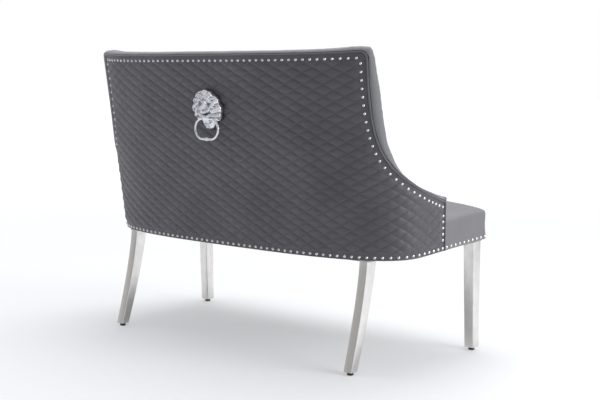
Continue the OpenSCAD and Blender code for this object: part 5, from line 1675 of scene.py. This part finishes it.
@dataclass
class Studio:
    """The pale floor, the soft lights, the world and the camera."""

    camera_at: tuple[float, float, float] = (-2.6899, 2.9351, 0.9161)
    yaw: float = math.radians(41.150)
    pitch: float = math.radians(6.329)
    roll: float = math.radians(-0.0865)
    focal_px: float = 1172.99
    width_px: float = 600.0
    ground: Colour = (0.88, 0.885, 0.90)
    shown: float = 1.0
    lift: float = 0.37
    shadow: float = 0.54

    def build(self) -> None:
        """Sets up everything round the bench."""
        self.place_camera()
        self.lay_floor()
        self.light_world()
        self.hang_lamp("key", (-3.6, -0.5, 1.9), (0.0, 0.0, 0.6), 2.0, 78.0)
        self.hang_lamp("left", (3.2, 2.0, 0.75), (0.3, 0.1, 0.6), 1.2, 23.0)
        self.hang_lamp("low", (1.5, 2.3, 0.12), (0.1, 0.25, 0.62), 0.9, 7.0)
        self.hang_lamp("top", (0.2, -0.5, 3.4), (0.0, 0.0, 0.4), 2.4, 92.0)
        bpy.context.scene.view_settings.view_transform = "Standard"

    def place_camera(self) -> None:
        """Puts the camera where the photograph was taken from."""
        ahead = Vector((math.sin(self.yaw) * math.cos(self.pitch), -math.cos(self.yaw) * math.cos(self.pitch),
                        -math.sin(self.pitch)))
        right = ahead.cross(Vector((0, 0, 1))).normalized()
        up = right.cross(ahead)
        turn = Matrix.Rotation(self.roll, 3, ahead)
        right, up = turn @ right, turn @ up
        lens = bpy.data.cameras.new("camera")
        lens.sensor_width = 36.0
        lens.lens = self.focal_px / self.width_px * 36.0
        lens.clip_end = 100.0
        camera = bpy.data.objects.new("camera", lens)
        basis = Matrix((right, up, -ahead)).transposed().to_4x4()
        camera.matrix_world = Matrix.Translation(Vector(self.camera_at)) @ basis
        bpy.context.scene.collection.objects.link(camera)
        bpy.context.scene.camera = camera

    def backdrop_paint(self) -> bpy.types.Material:
        """Pale paint that shows near white to the camera and keeps the shadows."""
        dress = Dresser("Pale floor")
        desk = dress.desk
        speck = desk.noise(dress.place, 3.0, 2.0)
        seen = desk.add("ShaderNodeLightPath").outputs["Is Camera Ray"]
        paint = desk.blend(speck, self.ground, shaded(self.ground, 0.985))
        dress.feed("Base Color", desk.blend(seen, paint, shaded(self.ground, self.shadow)))
        dress.constants(Roughness=0.7, Specular_IOR_Level=0.2)
        away = desk.add("ShaderNodeVectorMath", operation="LENGTH")
        desk.join(dress.place, away.inputs[0])
        glow = desk.remap(away.outputs["Value"], 1.0, 6.0, self.lift, 0.82)
        shine, both = desk.add("ShaderNodeEmission"), desk.add("ShaderNodeAddShader")
        shine.inputs["Color"].default_value = (0.965, 0.97, 1.0, 1.0)
        desk.join(desk.maths("MULTIPLY", glow, seen), shine.inputs["Strength"])
        desk.join(dress.shader.outputs[0], both.inputs[0])
        desk.join(shine.outputs[0], both.inputs[1])
        desk.join(both.outputs[0], dress.out.inputs[0])
        return dress.material

    def lay_floor(self) -> None:
        """Adds the floor."""
        bpy.ops.object.select_all(action="DESELECT")
        bpy.ops.mesh.primitive_plane_add(size=60.0, location=(0, 0, 0))
        floor = bpy.context.object
        floor.name = "floor"
        floor.data.materials.append(self.backdrop_paint())

    def light_world(self) -> None:
        """Soft even light, with a near-white background for the camera and for reflections."""
        world = bpy.data.worlds.new("studio")
        bpy.context.scene.world = world
        world.use_nodes = True
        desk = NodeDesk(world.node_tree)
        world.node_tree.nodes.clear()
        path = desk.add("ShaderNodeLightPath")
        seen = desk.maths("MAXIMUM", path.outputs["Is Camera Ray"], path.outputs["Is Glossy Ray"])
        seen = desk.maths("MAXIMUM", seen, path.outputs["Is Transmission Ray"])
        way = desk.add("ShaderNodeSeparateXYZ")
        desk.join(desk.add("ShaderNodeTexCoord").outputs["Generated"], way.inputs[0])
        behind = desk.remap(way.outputs[1], 0.05, 0.75, 0.0, 1.0)
        dim = desk.blend(behind, (self.shown,) * 3, (0.50, 0.495, 0.49))
        dim = desk.blend(path.outputs["Is Camera Ray"], dim, (self.shown,) * 3)
        soft, shown = desk.add("ShaderNodeBackground"), desk.add("ShaderNodeBackground")
        soft.inputs[0].default_value = (0.95, 0.97, 1.0, 1.0)
        soft.inputs[1].default_value = 0.52
        desk.join(dim, shown.inputs[0])
        shown.inputs[1].default_value = 1.0
        both, out = desk.add("ShaderNodeMixShader"), desk.add("ShaderNodeOutputWorld")
        desk.join(seen, both.inputs[0])
        desk.join(soft.outputs[0], both.inputs[1])
        desk.join(shown.outputs[0], both.inputs[2])
        desk.join(both.outputs[0], out.inputs[0])

    def hang_lamp(self, name: str, place: Sequence[float], aim: Sequence[float],
                  size: float, power: float) -> None:
        """Hangs one soft lamp.

        Args:
            name: Its name.
            place: Where it hangs.
            aim: What it points at.
            size: Its width.
            power: Its power in watts.
        """
        lamp = bpy.data.lights.new(name, "AREA")
        lamp.shape, lamp.size, lamp.energy = "SQUARE", size, power
        holder = bpy.data.objects.new(name, lamp)
        holder.visible_glossy = name == "key"
        way = Vector(aim) - Vector(place)
        turn = way.to_track_quat("-Z", "Y").to_matrix().to_4x4()
        holder.matrix_world = Matrix.Translation(Vector(place)) @ turn
        bpy.context.scene.collection.objects.link(holder)


def dress_nodes() -> None:
    """Gives every CAD node its slot's material."""
    slots = {row["node"]: row["material_slot"] for row in FRAME["record"]["subparts"]}
    for name, node in FRAME["nodes"].items():
        WARDROBE.dress_node(name, node, slots[name])


def main() -> None:
    """Builds the bench piece by piece."""
    logging.basicConfig(level=logging.INFO, format="%(name)s %(message)s")
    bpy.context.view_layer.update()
    Studio().build()
    dress_nodes()
    OuterCover().build()
    trim = EdgeTrim()
    trim.build_roll()
    trim.build_welt()
    pads = InnerPads()
    pads.build_back()
    for side in Side:
        pads.build_arm(side)
        pads.build_facing(side)
    seat = Seat()
    seat.build()
    seat.build_webbing()
    seat.build_dust_cloth()
    Legs().build()
    LionMask().build()


if __name__ == "__main__":
    main()
